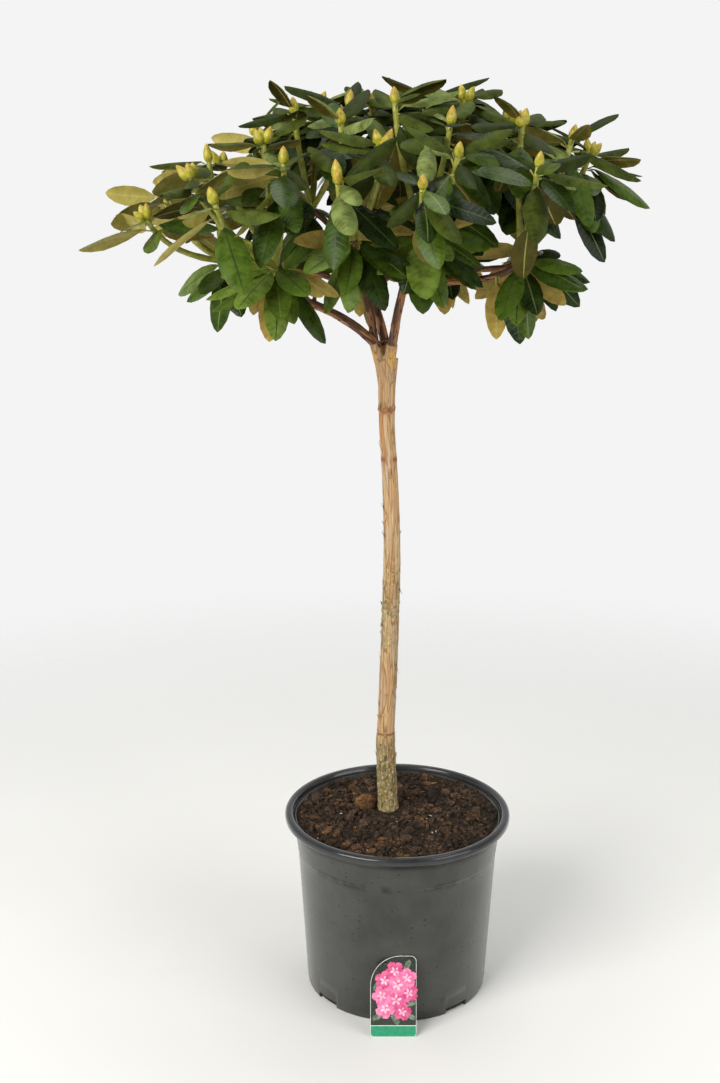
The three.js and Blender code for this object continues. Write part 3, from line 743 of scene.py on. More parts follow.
# %% [markdown]
# ## Leaves
#
# A rhododendron's leaf is leathery: a flat stalk, a blade that is widest past its middle, margins
# that roll down a little, a groove over the midrib and a raised rib under it. A flat grid of 8 by 5
# cells, doubled and joined along its rim, has just those parts. Every leaf is that grid, laid by the
# rule above and then bent in its own way. Young leaves are matt and dusty, older ones glossy, and
# the undersides run from olive to tan. Each of these tints is a material, and a leaf is dealt one for
# its top, one for its underside and one for its rib.

# %% One leaf
# share of the length, share of the half width, half thickness in millimetres
LEAF_ROWS = [
    (0, 0.095, 1.3), (0.14, 0.085, 1.1), (0.2, 0.36, 0.7), (0.32, 0.8, 0.6), (0.48, 1, 0.55),
    (0.66, 0.98, 0.5), (0.83, 0.76, 0.45), (0.95, 0.38, 0.4), (1, 0.04, 0.3),
]
LEAF_COLUMNS = [-1, -0.56, -0.055, 0.055, 0.56, 1]
MIDRIB, STALK_ROWS = 2, 1  # the column of cells that is the midrib, and the rows that are stalk


def leaf_shape():
    """A grid and its copy below, joined along the rim. x, y and z are row, column and side."""
    rows, columns = len(LEAF_ROWS) - 1, len(LEAF_COLUMNS) - 1
    bm = bmesh.new()
    for layer in (1, -1):
        made = bmesh.ops.create_grid(bm, x_segments=rows, y_segments=columns, size=0.5)["verts"]
        for corner in made:
            row, column = round((corner.co.x + 0.5) * rows), round((corner.co.y + 0.5) * columns)
            inside = 0 < row < rows and 0 < column < columns
            corner.co = (row, column, layer if inside else 0)
        if layer < 0:
            bmesh.ops.reverse_faces(bm, faces=list({f for v in made for f in v.link_faces}))
    bmesh.ops.remove_doubles(bm, verts=bm.verts, dist=0.1)
    middles = np.array([f.calc_center_median() for f in bm.faces])
    return (*shape_arrays(bm), middles)


leaf_corners, leaf_loops, leaf_sizes, leaf_middles = leaf_shape()
ROW, COLUMN, SIDE = leaf_corners.T
row_table = np.array(LEAF_ROWS)[ROW.round().astype(int)]
LEAF_SHARE, LEAF_WIDTH, LEAF_THICK = row_table.T
LEAF_SPREAD = np.array(LEAF_COLUMNS)[COLUMN.round().astype(int)]
blade_marks = np.column_stack([LEAF_SHARE, LEAF_SPREAD * LEAF_WIDTH, SIDE])
print("faces of one leaf:", len(leaf_sizes))

# %% Leaf finishes
# The darker and the lighter tint of each material: new leaves are dusty grey green, old ones run from
# nearly black to a fresh green. The freshest green goes only to the low leaves, as painted light.
TOPS = {
    "dusty": [
        ("#323e10", "#525e21"), ("#1b2506", "#303b0d"), ("#4e5b27", "#818e4f"), ("#283306", "#444f17"),
    ],
    "glossy": [
        ("#101c08", "#1f2f0c"), ("#17260a", "#2b3f11"), ("#25360d", "#3b5117"), ("#364b10", "#526922"),
        ("#4d631e", "#738b3a"),
    ],
}
UNDERS = [("#6c6125", "#8b7f36"), ("#5d5319", "#776c2a"), ("#423c12", "#58511e"), ("#917938", "#b9a350")]
# Brighter copies of the undersides: painted light on the leaves turned over at the crown's left edge.
PAINTED_LIGHT_UNDERS = [("#a99b4c", "#c5b76d"), ("#8f843a", "#aca055")]
RIBS = [("#7f8a35", "#989f4c"), ("#9d9549", "#b3ad63")]
TOP_RIBS = [("#23350f", "#2d4215"), ("#2d4215", "#3a5020"), ("#5a6a2e", "#6c7a3c")]
# material, its tints, roughness, specular level, and how far its veins stand up, or are sunk below zero
LEAF_KINDS = [
    ("dusty", TOPS["dusty"], 0.55, 0.12, -1),
    ("glossy", TOPS["glossy"], 0.3, 0.18, -1),
    ("under", UNDERS, 0.65, 0.2, 1.2),
    ("lit_under", PAINTED_LIGHT_UNDERS, 0.65, 0.2, 1.2),
    ("rib", RIBS, 0.5, 0.4, 0),
    ("top_rib", TOP_RIBS, 0.4, 0.4, 0),
]
VEINS, VEIN_SLANT = 13, 0.11  # side veins on each half of a blade, and how far each runs on to its margin
VEIN_CORE, VEIN_EDGE = 0.03, 0.16  # half the width of a vein, clear and faded out, in spacings of veins
VEIN_TINT = 0.4  # how far a vein is lightened


def side_veins(finish):
    """The side veins of a blade: 1 on a vein, 0 between. They leave the midrib and slant to the tip."""
    marks = add_node(finish, "Attribute", attribute_name="blade", out="Vector")
    blade = add_node(finish, "SeparateXYZ", {"Vector": marks}, out=None)
    aside = add_node(finish, "Math", [blade.outputs["Y"]], operation="ABSOLUTE")
    slant = [aside, -VEIN_SLANT, blade.outputs["X"]]
    slanted = add_node(finish, "Math", slant, operation="MULTIPLY_ADD")
    off_vein = add_node(finish, "Math", [slanted, 0.5 / VEINS], operation="PINGPONG")
    return add_node(finish, "MapRange", [off_vein, VEIN_CORE / VEINS, VEIN_EDGE / VEINS, 1, 0])


def leaf_finish(name, shade, light, roughness, gloss, raised):
    """Leathery leaf: mottled between two near tints, veined, with a fine grain that breaks the shine."""
    finish, shader = new_finish(name)
    place = add_node(finish, "TexCoord", out="Object")
    mottle = add_node(finish, "TexNoise", {"Vector": place, "Scale": 70, "Detail": 3, "Roughness": 0.55})
    tint = add_node(finish, "ValToRGB", {"Fac": mottle}, [(0.34, shade), (0.66, light)])
    veins = side_veins(finish)
    faint = add_node(finish, "Math", [veins, VEIN_TINT], operation="MULTIPLY")
    veined = add_node(finish, "Mix", {0: faint, 6: tint, 7: light}, out=2, data_type="RGBA")
    sheen = add_node(finish, "MapRange", [mottle, 0.3, 0.7, roughness - 0.07, roughness + 0.07])
    grain = add_node(finish, "TexNoise", {"Vector": place, "Scale": 420, "Detail": 2})
    height = add_node(finish, "Math", [veins, raised, grain], operation="MULTIPLY_ADD")
    bump = add_node(finish, "Bump", {"Height": height, "Strength": 0.3, "Distance": 0.0006})
    sockets = {"Base Color": veined, "Roughness": sheen, "Normal": bump, "IOR": 1.45}
    set_sockets(finish, shader, sockets | {"Specular IOR Level": gloss})
    return finish


leaf_finishes, slot_of = [], {}
for kind, tints, roughness, gloss, raised in LEAF_KINDS:
    for i, (shade, light) in enumerate(tints):
        slot_of[kind, i] = len(leaf_finishes)
        leaf_finishes.append(leaf_finish(f"leaf_{kind}_{i}", shade, light, roughness, gloss, raised))
print("leaf materials:", len(leaf_finishes))

# %% [markdown]
# The rule gives a leaf as a stiff sheet. A real one turns its face to the light and bends over where
# it rises steeply. The leaves at the crown's left edge are held out nearly level, and the young ones
# there turn over and show their undersides, in brighter tints that are painted light. All of this only
# turns a leaf about its root or about its own length, so it stays close to the leaf of the solids.

# %% Turning the leaves
YOUNG_FROM, YOUNG_TO = 1150, 1270  # millimetres up: from here leaves begin to be young, from there all are
YOUNG_LIFT = 90  # degrees: a leaf that rises by this much more is as sure to be young as one at YOUNG_TO
# at the left of an edge leaves are held out: the edge, and the share of a rise and of a fall they keep
LEVELLED = [(-240, 0.15, 0.15), (-110, 0.55, 1)]
LEFT_EDGE, POINTS_LEFT = -150, -0.35  # left of this, leaves that point left by this much or more turn over
EDGE_TURN = (28, 66)  # by so many degrees
LIGHT_WAY = unit(np.array([-0.1, -1, 0.15]))
FACED = {"rosette": 12}  # a leaf edge-on to the light turns its face or its back to it, so many degrees
FACED_BELOW, EDGE_ON = 36, 30  # as the older leaves below do, and how near to edge-on it has to be


def levelled(leaf):
    """The way a leaf points, once the left side's leaves are held out."""
    along = leaf["along"]
    for edge, rise, fall in LEVELLED:
        if leaf["kind"] == "rosette" and leaf["root"][0] < edge:
            return unit(along * (1, 1, rise if along[2] > 0 else fall))
    return along


def turned_to_light(along, face, most):
    """Twists a leaf that stands edge-on to the light."""
    best = unit(LIGHT_WAY - along * along.dot(LIGHT_WAY))
    angle = math.degrees(math.atan2(face.dot(np.cross(along, best)), face.dot(best)))
    past = abs(angle) - 90
    push = most * math.exp(-((past / EDGE_ON) ** 2))
    return turned_about(face, along, math.copysign(push, angle) * (1 if past > 0 else -1))


def is_young(leaf, luck):
    """Young dusty leaves sit round the tips of the higher shoots, above the old glossy ones."""
    share = (leaf["root"][2] - YOUNG_FROM) / (YOUNG_TO - YOUNG_FROM) + leaf["lift"] / YOUNG_LIFT
    return leaf["kind"] == "rosette" and luck < share


def turned_leaf(leaf, dice):
    """A leaf's age, the way it points, the way it faces, and whether it shows its underside."""
    tone = "dusty" if is_young(leaf, dice.chance()) else "glossy"
    along = levelled(leaf)
    face = unit(leaf["face"] - along * along.dot(leaf["face"]))
    face = turned_to_light(along, face, FACED.get(leaf["kind"], FACED_BELOW))
    turned = leaf["kind"] == "rosette" and leaf["root"][0] < LEFT_EDGE and along[0] < POINTS_LEFT
    if turned:
        face = turned_about(face, along, mix(*EDGE_TURN, dice.chance()))
    return tone, along, face, turned


# %% Bending the leaves
# how far the margins roll down, in degrees, and the width as a share of the rule's
ROLLED = {"dusty": (35, 88), "glossy": (-10, 36)}
WIDTHS = {"dusty": (0.88, 1.06), "glossy": (0.92, 1.16)}
STEEP, STEEP_DROOP = 0.25, 0.45  # a leaf that rises more steeply than this bends over, by so much more
# how much leaves differ: droop and sideways bend as shares of the length, and twist in degrees
VARY = {"droop": 0.07, "bend": 0.06, "twist": 20}
GROOVE = {"half": 0.1, "from": 0.15, "above": 1.2, "below": 1.5, "fading": 0.7}  # depth and rib height in mm
STALK = {"end": 0.2, "sunk": 5}  # its share of the length, and millimetres that its root sits lower
RIPPLE = {"waves": 1.5, "height": 0.014, "offset": 2}  # of the margins, along a leaf, and left from right


def bent_leaf(leaf, tone, along, face, dice):
    """The places of a leaf's corners."""
    length = leaf["length"]
    half_width = length * LEAF["width"] / 2 * mix(*WIDTHS[tone], dice.chance())
    droop = LEAF["droop"] + dice.vary(VARY["droop"]) + STEEP_DROOP * max(along[2] - STEEP, 0)
    rolled = math.radians(mix(*ROLLED[tone], dice.chance()))
    bend, twist = dice.vary(VARY["bend"]), dice.vary(VARY["twist"])
    wave, phase = dice.chance(), dice.chance() * FULL_TURN
    forward = length * LEAF_SHARE - LEAF["root_depth"] * (1 - LEAF_SHARE)
    # Across, the blade is an arc, so that a rolled leaf is as wide on its skin as a flat one.
    arc = LEAF_SPREAD * rolled
    across = np.sin(arc) / rolled * LEAF_WIDTH * half_width + bend * length * LEAF_SHARE**2
    lift = SIDE * LEAF_THICK * np.sqrt(np.clip(1 - LEAF_SPREAD**2, 0, 1))
    lift -= (1 - np.cos(arc)) / rolled * LEAF_WIDTH * half_width
    groove = (abs(LEAF_SPREAD) < GROOVE["half"]) & (LEAF_SHARE > GROOVE["from"]) & (abs(SIDE) > 0)
    depth = np.where(SIDE > 0, GROOVE["above"], GROOVE["below"]) * (1 - GROOVE["fading"] * LEAF_SHARE)
    lift -= groove * depth
    lift -= droop * length * LEAF_SHARE**2
    lift -= STALK["sunk"] * np.clip(1 - LEAF_SHARE / STALK["end"], 0, 1) ** 2
    ripple = np.sin(RIPPLE["waves"] * FULL_TURN * LEAF_SHARE + phase + (LEAF_SPREAD > 0) * RIPPLE["offset"])
    lift += RIPPLE["height"] * wave * length * abs(LEAF_SPREAD) * LEAF_WIDTH * ripple
    angle = np.radians(twist) * LEAF_SHARE
    cosine, sine = np.cos(angle), np.sin(angle)
    across, lift = across * cosine - lift * sine, across * sine + lift * cosine
    sideways = np.cross(along, face)
    return leaf["root"] + np.outer(forward, along) + np.outer(across, sideways) + np.outer(lift, face)


# %% Colours of the leaves
on_stalk = leaf_middles[:, 0] < STALK_ROWS
on_rib = (leaf_middles[:, 1] > MIDRIB) & (leaf_middles[:, 1] < MIDRIB + 1)
below = leaf_middles[:, 2] < 0
# The low leaves' tops skip the darkest tint and may take the freshest green: painted light from the front
# and the floor. Their tan undersides are their own colour.
LOW_KINDS = ("hanging", "knot", "limb")  # the leaves round a knot, brighter and more often tan below
LOW_UNDERS = (3, 0, 3, 3)
TOP_CHOICES, UNDER_CHOICES = 4, 3


def leaf_colours(leaf, tone, turned, dice):
    """The material of each face of a leaf."""
    low = leaf["kind"] in LOW_KINDS
    # Low leaves take top tints one step brighter: painted light.
    top = slot_of[tone, int(dice.chance() * TOP_CHOICES) + low]
    luck = dice.chance()
    under = slot_of["under", LOW_UNDERS[int(luck * len(LOW_UNDERS))] if low else int(luck * UNDER_CHOICES)]
    # A leaf turned over at the left edge shows a brighter underside: painted light.
    if turned:
        under = slot_of["lit_under", int(dice.chance() * len(PAINTED_LIGHT_UNDERS))]
    colours = np.where(below, under, top)
    rib = slot_of["rib", int(dice.chance() * len(RIBS))]
    colours = np.where(on_stalk | (on_rib & below), rib, colours)
    if tone == "glossy":
        top_rib = slot_of["top_rib", int(dice.chance() * len(TOP_RIBS))]
        colours = np.where(on_rib & ~below & ~on_stalk, top_rib, colours)
    return colours


# %% A piece of leaves for every mass
MASSES = ["foliage_" + name for name in LIMBS]
dice = Dice(305)
for name in LIMBS:
    places, slots = [], []
    for leaf in leaves:
        if leaf["mass"] == name:
            tone, along, face, turned = turned_leaf(leaf, dice)
            places.append(bent_leaf(leaf, tone, along, face, dice))
            slots.append(leaf_colours(leaf, tone, turned, dice))
    places, slots = np.array(places) * MM, np.array(slots)
    mesh = repeated_mesh("leaves_" + name, places, leaf_loops, leaf_sizes, slots, SIDE == 0, blade_marks)
    piece = place_piece(mesh, "leaves_" + name, leaf_finishes)
    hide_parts("foliage_" + name)
print("leaf faces:", len(leaves) * len(leaf_sizes))

# %% [markdown]
# ## Shoots and buds
#
# Each shoot is this year's wood: a green tube as thick as a pencil, ringed where leaves fell. It ends
# in one to three fat flower buds, eggs wrapped in overlapping scales. A tube along a curve makes the
# shoot. A bud is a small sphere drawn out to a point, whose rings are stepped in and out as scales,
# and it is repeated with its own size and lean.

# %% Shoots
SHOOT_SIDES, SHOOT_RINGS = 8, 14
STOUTER = 1.2  # than the rule's shoots, which are kept thin to leave room
SCAR_RINGS, SCAR_SWELLING = 4, 0.5  # every fourth ring is a leaf's scar, which stands so many mm proud


def wood_finish(name, shade, middle, light, roughness, scale):
    """Smooth green or brown skin of wood or bud: three tints in streaks, with a fine grain."""
    finish, shader = new_finish(name)
    place = add_node(finish, "TexCoord", out="Object")
    streak = add_node(finish, "TexNoise", {"Vector": place, "Scale": scale, "Detail": 4})
    tint = add_node(finish, "ValToRGB", {"Fac": streak}, [(0.3, shade), (0.5, middle), (0.7, light)])
    bump = add_node(finish, "Bump", {"Height": streak, "Strength": 0.4, "Distance": 0.001})
    set_sockets(finish, shader, {"Base Color": tint, "Roughness": roughness, "Normal": bump, "IOR": 1.45})
    return finish


shoot_bark = wood_finish("green_shoot_bark", "#777c28", "#959838", "#aeae50", 0.45, 130)
shares = np.linspace(0, 1, SHOOT_RINGS + 1)
swelling = np.where(np.arange(SHOOT_RINGS + 1) % SCAR_RINGS == SCAR_RINGS - 1, SCAR_SWELLING, 0)
shoot_radii = STOUTER * mix(SHOOT["root"], SHOOT["tip"], shares) + swelling
bm = bmesh.new()
for shoot in shoots:
    centres = np.array([bezier(shoot["points"], t) for t in shares])
    add_tube(bm, centres, shoot_radii, SHOOT_SIDES)
shoots_piece = piece_from(bm, "shoots", [shoot_bark])
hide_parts(*MASSES)
print("shoots:", len(shoots))

# %% Buds
BUD_SEGMENTS, BUD_RINGS = 10, 9
SCALE_STEP = 0.09  # how far a scale stands out, as a share of the bud's radius
BUDS_MOST, FEWER = 3, 1.5  # buds at a shoot's end, and a power that makes single ones more common
BUD_LENGTH, BUD_WIDTH, BUD_SUNK = (19, 26), (13.5, 16.5), 2  # in millimetres
BUD_LEAN, BUD_APART = 0.42, 3.4  # buds that share a shoot lean out, and stand so many mm off its middle
RIPE_FROM, RIPE_SPAN, RIPE_WAVE = 0.52, 0.4, 0.16  # how far up a bud its scales turn brown


def bud_shape():
    """A pointed egg, 1 long on z, whose rings step in and out as scales."""
    bm = bmesh.new()
    bmesh.ops.create_uvsphere(bm, u_segments=BUD_SEGMENTS, v_segments=BUD_RINGS, radius=0.5)
    for corner in bm.verts:
        share = corner.co.z + 0.5
        turn = math.atan2(corner.co.y, corner.co.x)
        ring = round(math.acos(max(-1, min(1, 2 * corner.co.z))) / math.pi * BUD_RINGS)
        scales = 1 + SCALE_STEP * math.cos(BUD_SEGMENTS / 2 * turn + ring * math.pi)
        egg = (1 - share) ** 0.25 * (1.12 - 0.3 * share) * scales
        corner.co = (corner.co.x * egg, corner.co.y * egg, share)
    middles = np.array([f.calc_center_median() for f in bm.faces])
    return (*shape_arrays(bm), middles)


bud_corners, bud_loops, bud_sizes, bud_middles = bud_shape()
bud_finishes = [
    wood_finish("bud_scale_green", "#86861f", "#aaa32e", "#c6bc4c", 0.4, 160),
    wood_finish("bud_scale_tip", "#96702a", "#b8963a", "#c9b04a", 0.45, 160),
]
around = np.arctan2(bud_middles[:, 1], bud_middles[:, 0])
bud_heights = bud_middles[:, 2] + RIPE_WAVE * np.cos(BUD_SEGMENTS / 2 * around)
x, y, z = bud_corners.T
dice = Dice(44)
bud_places, bud_slots = [], []
for shoot in shoots:
    tip, axis = shoot["points"][2], shoot["axis"]
    first, second = square_to(axis, level_out(tip))
    count = 1 + int(dice.chance() ** FEWER * BUDS_MOST)
    lean, apart = (BUD_LEAN, BUD_APART) if count > 1 else (0, 0)
    start = dice.chance() * FULL_TURN
    for j in range(count):
        angle = start + FULL_TURN * j / count
        out = first * math.cos(angle) + second * math.sin(angle)
        long_way = unit(axis + out * lean)
        side = unit(np.cross(long_way, first))
        across = np.cross(long_way, side)
        length, width = mix(*BUD_LENGTH, dice.chance()), mix(*BUD_WIDTH, dice.chance())
        root = tip - axis * BUD_SUNK + out * apart
        girth = np.outer(x * width, side) + np.outer(y * width, across)
        bud_places.append(root + np.outer(z * length, long_way) + girth)
        bud_slots.append((bud_heights > RIPE_FROM + RIPE_SPAN * dice.chance()).astype(int))
mesh = repeated_mesh("buds", np.array(bud_places) * MM, bud_loops, bud_sizes, np.array(bud_slots))
buds = place_piece(mesh, "buds", bud_finishes)
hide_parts(*MASSES)
print("buds:", len(bud_places))

# %% [markdown]
# ## Stem and limbs
#
# The stem's bark is tan and stringy: long shallow cracks, scales that lift at the edge, a greener and
# rougher foot, and a few scars that ring it. The limbs are darker, red-brown, and bright where the
# thin outer bark has peeled. Each tube is a cylinder laid along its line. The Remesh modifier then
# melts the tubes that meet at the fork into one skin, fine enough to push its corners in and out by
# noise. The noise is read along the grain, so it comes out as long streaks.

# %% Tubes of wood
STEM_SIDES, STEM_STEP = 24, 7.0  # corners round the stem, and millimetres between its rings
KNUCKLE_SIDES, KNUCKLE_RINGS = 14, 5
LIMB_SIDES, LIMB_RINGS = 14, 24
IN_FORK, FORK_SWELLING = 9, 0.2  # millimetres that a main limb starts down in the fork, and is stouter there
MASS_STEM_RADII = [4.6, 3.9]  # at the middle and the end of the short stem that the shoots leave
STEM_VOXEL, LIMB_VOXEL = 1.35, 1.25  # millimetres
# the stub of a cut side limb: where it stands, its size from root to cut, and how far it leans out
STUB = {
    "limb": "left", "share": 0.42, "length": 17, "radii": [4.2, 3.2, 3.6, 2.6], "bearing": 80, "out": 0.4,
}
STUB_SIDES, STUB_RINGS = 10, (0, 0.4, 0.8, 1)


def smooth_table(table, heights):
    """Reads a table of height and values along one smooth line through its points."""
    table = np.array(table, float)
    at, values = table[:, 0], table[:, 1:]
    slopes = np.gradient(values, at, axis=0)
    i = np.clip(np.searchsorted(at, heights) - 1, 0, len(at) - 2)
    span = (at[i + 1] - at[i])[:, None]
    t = ((heights - at[i]) / span[:, 0])[:, None]
    a, b = values[i], values[i + 1]
    start, end = slopes[i] * span, slopes[i + 1] * span
    return a + t * start + t**2 * (3 * (b - a) - 2 * start - end) + t**3 * (2 * (a - b) + start + end)


stem_heights = np.arange(STEM_LINE[0][2] + GAP, STEM_LINE[-1][2] + 1, STEM_STEP)
stem_table = [(z, x, y) for x, y, z in STEM_LINE]
stem_radii = np.interp(stem_heights, *np.array(STEM_RADII).T)
stem_centres = np.column_stack([smooth_table(stem_table, stem_heights), stem_heights])

fork_root = np.array([fork_top[0], fork_top[1], FORK["root_height"]])
bm = bmesh.new()
add_tube(bm, stem_centres, stem_radii, STEM_SIDES)
for limb in LIMBS.values():
    if limb[0] == "stem":
        top = fork_top + bearing(limb[BEARING]) * FORK["spread"]
        shares = np.linspace(0, 1, KNUCKLE_RINGS)
        radii = mix(FORK["root_radius"], FORK["radius"], shares)
        add_tube(bm, [mix(fork_root, top, t) for t in shares], radii, KNUCKLE_SIDES)
stem_piece = piece_from(bm, "stem_bark", [])

bm = bmesh.new()
limb_lines = []
for name, points in limb_frames.items():
    start, end = mass_stem(name)
    shares = np.linspace(0, 1, LIMB_RINGS + 1)
    centres = [bezier(points, t) for t in shares] + [mix(start, end, 0.5), end]
    radii = list(mix(LIMBS[name][RADIUS], LIMB["knot_radius"], shares)) + MASS_STEM_RADII
    if LIMBS[name][0] == "stem":
        centres.insert(0, points[0] - unit(points[1] - points[0]) * IN_FORK)
        radii.insert(0, radii[0] + FORK_SWELLING)
    limb_lines.append(np.array(centres))
    add_tube(bm, centres, radii, LIMB_SIDES)
stub_root = bezier(limb_frames[STUB["limb"]], STUB["share"])
stub_way = unit(bearing(STUB["bearing"]) * STUB["out"] + UP)
add_tube(bm, [stub_root + stub_way * STUB["length"] * t for t in STUB_RINGS], STUB["radii"], STUB_SIDES)
limb_piece = piece_from(bm, "limb_bark", [])


def melt(piece, voxel):
    """Applies a Remesh modifier, which turns crossing tubes into one closed skin."""
    remesh = piece.modifiers.new("melt", "REMESH")
    remesh.mode = "VOXEL"
    remesh.voxel_size = voxel * MM
    remesh.use_smooth_shade = True
    bpy.context.view_layer.update()
    melted = bpy.data.meshes.new_from_object(piece.evaluated_get(bpy.context.evaluated_depsgraph_get()))
    piece.modifiers.clear()
    piece.data = melted
    return melted


stem_mesh, limb_mesh = melt(stem_piece, STEM_VOXEL), melt(limb_piece, LIMB_VOXEL)
print("bark corners:", len(stem_mesh.vertices), "on the stem,", len(limb_mesh.vertices), "on the limbs")


# %% Grain of the wood
TONE_MIX = Vector((12.99, 78.23, 37.72))  # any odd numbers, which turn a place into a random tone
GRAIN_STRETCH = 0.065  # the grain's length is shortened so much, so that round spots come out as strips
LINE_APART = 400  # millimetres between the starts of two lines, so that each has its own pattern


def mesh_arrays(mesh):
    """The corners of a mesh, in millimetres, and their normals."""
    points, normals = np.empty((2, len(mesh.vertices) * 3), np.float32)
    mesh.vertices.foreach_get("co", points)
    mesh.vertices.foreach_get("normal", normals)
    return points.reshape(-1, 3) / MM, normals.reshape(-1, 3)


def grain_along(points, lines):
    """Where each point lies on the nearest line: offset across it, and the length run along it."""
    best, grain = np.full(len(points), np.inf), np.zeros((len(points), 3))
    for k, centres in enumerate(lines):
        run = LINE_APART * k
        for start, span, side, across in zip(centres, np.diff(centres, axis=0), *ring_frames(centres)):
            length = np.linalg.norm(span)
            away = points - start
            t = np.clip((away @ span) / length**2, 0, 1)
            offset = away - t[:, None] * span
            distance = (offset**2).sum(1)
            nearer = distance < best
            best[nearer] = distance[nearer]
            grain[nearer] = np.column_stack([offset @ side, offset @ across, run + t * length])[nearer]
            run += length
    return grain


def noise_at(points, scale, shift=0.0):
    """Blender's Perlin noise at many points, from -1 to 1."""
    scaled = points / np.asarray(scale, float) + shift
    return np.array([noise.noise(p) for p in scaled.tolist()])


def cells_at(points, scale):
    """Voronoi cells: how near each point is to a border, 0 on it, and a tone from 0 to 1 for its cell."""
    edges, tones = [], []
    for spot in (points / np.asarray(scale, float)).tolist():
        distances, middles = noise.voronoi(spot)
        edges.append(distances[1] - distances[0])
        tones.append(middles[0].dot(TONE_MIX) % 1)
    return np.array(edges), np.array(tones)


def smooth_step(low, high, values):
    """0 up to a low value, 1 from a high one on, and a smooth slope between."""
    t = np.clip((values - low) / (high - low), 0, 1)
    return t * t * (3 - 2 * t)


def store(mesh, name, values):
    """Keeps a number or a vector for each corner, which the material reads by its name."""
    vector = values.ndim == 2
    layer = mesh.attributes.new(name, "FLOAT_VECTOR" if vector else "FLOAT", "POINT")
    layer.data.foreach_set("vector" if vector else "value", values.astype(np.float32).ravel())


def push(mesh, points, normals, depth):
    """Moves each corner of a mesh along its normal."""
    mesh.vertices.foreach_set("co", ((points + normals * depth[:, None]) * MM).astype(np.float32).ravel())
    mesh.update()


# %% Relief of the stem
FOOT_TOP, FOOT_FADE, FOOT_WAVE = 372, 45, 40  # millimetres: below this the bark is rougher and greener
ROUGH = {"height": 592, "half": 72, "share": 0.58}  # one more rough length of stem
BLISTER = {"height": 890, "half": 6.5, "relief": 0.9, "lumps": 3.2}  # a brown blistered band
BROWN = {"height": 817, "half": 4.2, "aside": (0.3, 0.62)}  # two brown patches, left and right
RING = {"height": 394, "half": 1.7, "depth": 0.9}  # the cut where the stem was grafted
CHINK = {"share": 0.75, "width": 0.16, "uneven": 0.12}  # the dark gaps between scales at the rough foot
COLLAR = {"share": 0.62, "radius": 9, "tall": 1.7}  # bare golden wood below each limb
# Plates of bark: their size in millimetres, twice across the grain and once along it; how near to its
# seam a plate begins and is at full height; how deep the seam is, how low the whole plate sits, and how
# far two plates differ in height, in millimetres.
STRIPS = {"size": (6, 6, 80), "seam": (0.02, 0.2), "deep": 0.4, "low": 0.4, "uneven": 0.55}
SCALES = {"size": (5.5, 5.5, 17), "seam": (0.03, 0.25), "deep": 0.8, "low": 0.5, "uneven": 0.8}
LIMB_STRIPS = {"size": (5, 5, 40), "seam": (0.02, 0.2), "deep": 0.4, "low": 0.5, "uneven": 0.45}
FIBRE = 0.16  # millimetres that single fibres stand up


def band(height, shape):
    """1 at a shape's height on the stem, falling off softly above and below."""
    return np.exp(-(((height - shape["height"]) / shape["half"]) ** 2))


def plates(grain, kind):
    """The relief of a kind of plates, and how near each point is to a seam."""
    border, tone = cells_at(grain, kind["size"])
    raised = kind["deep"] * smooth_step(*kind["seam"], border) - kind["low"]
    return raised + kind["uneven"] * (tone - 0.5), border


points, normals = mesh_arrays(stem_mesh)
grain = grain_along(points, [stem_centres])
height = points[:, 2]
foot_edge = height + FOOT_WAVE * noise_at(points, 20)
foot = 1 - smooth_step(FOOT_TOP - FOOT_FADE, FOOT_TOP + FOOT_FADE, foot_edge)
rough = np.clip(foot + ROUGH["share"] * band(height, ROUGH) * (1 + noise_at(points, 16)), 0, 1)
scale_relief, scale_border = plates(grain, SCALES)
relief = plates(grain, STRIPS)[0] + rough * scale_relief + FIBRE * noise_at(grain, (1.8, 1.8, 12), 7.0)
blister, brown, ring = band(height, BLISTER), band(height, BROWN), band(height, RING)
relief += BLISTER["relief"] * blister * noise_at(points, BLISTER["lumps"]) - RING["depth"] * ring
sideways = smooth_step(*BROWN["aside"], abs(grain[:, 0]) / np.interp(height, stem_heights, stem_radii))
bare = np.zeros(len(points))
for limb in LIMBS.values():
    if limb[0] == "stem":
        way = bearing(limb[BEARING])
        spot = mix(fork_root, fork_top + way * FORK["spread"], COLLAR["share"]) + way * FORK["radius"]
        away = (points - spot) / (1, 1, COLLAR["tall"])
        bare = np.maximum(bare, np.exp(-((away**2).sum(1) / COLLAR["radius"] ** 2)))
relief[height < STEM_LINE[0][2] + 2] = 0  # the cut at the soil stays flat
push(stem_mesh, points, normals, relief)
store(stem_mesh, "grain", grain * (1, 1, GRAIN_STRETCH))
store(stem_mesh, "rough", rough)
chink_edge = scale_border + CHINK["uneven"] * noise_at(points, 6)
store(stem_mesh, "chink", CHINK["share"] * rough * (1 - smooth_step(0.0, CHINK["width"], chink_edge)))
scars = 1.3 * blister * (0.6 + noise_at(points, 4)) + brown * sideways + ring
store(stem_mesh, "scar", np.clip(scars, 0, 1))
store(stem_mesh, "bare", smooth_step(0.2, 0.6, bare + 0.2 * noise_at(points, 5)))
print("relief of the stem:", round(float(relief.min()), 2), "to", round(float(relief.max()), 2), "mm")

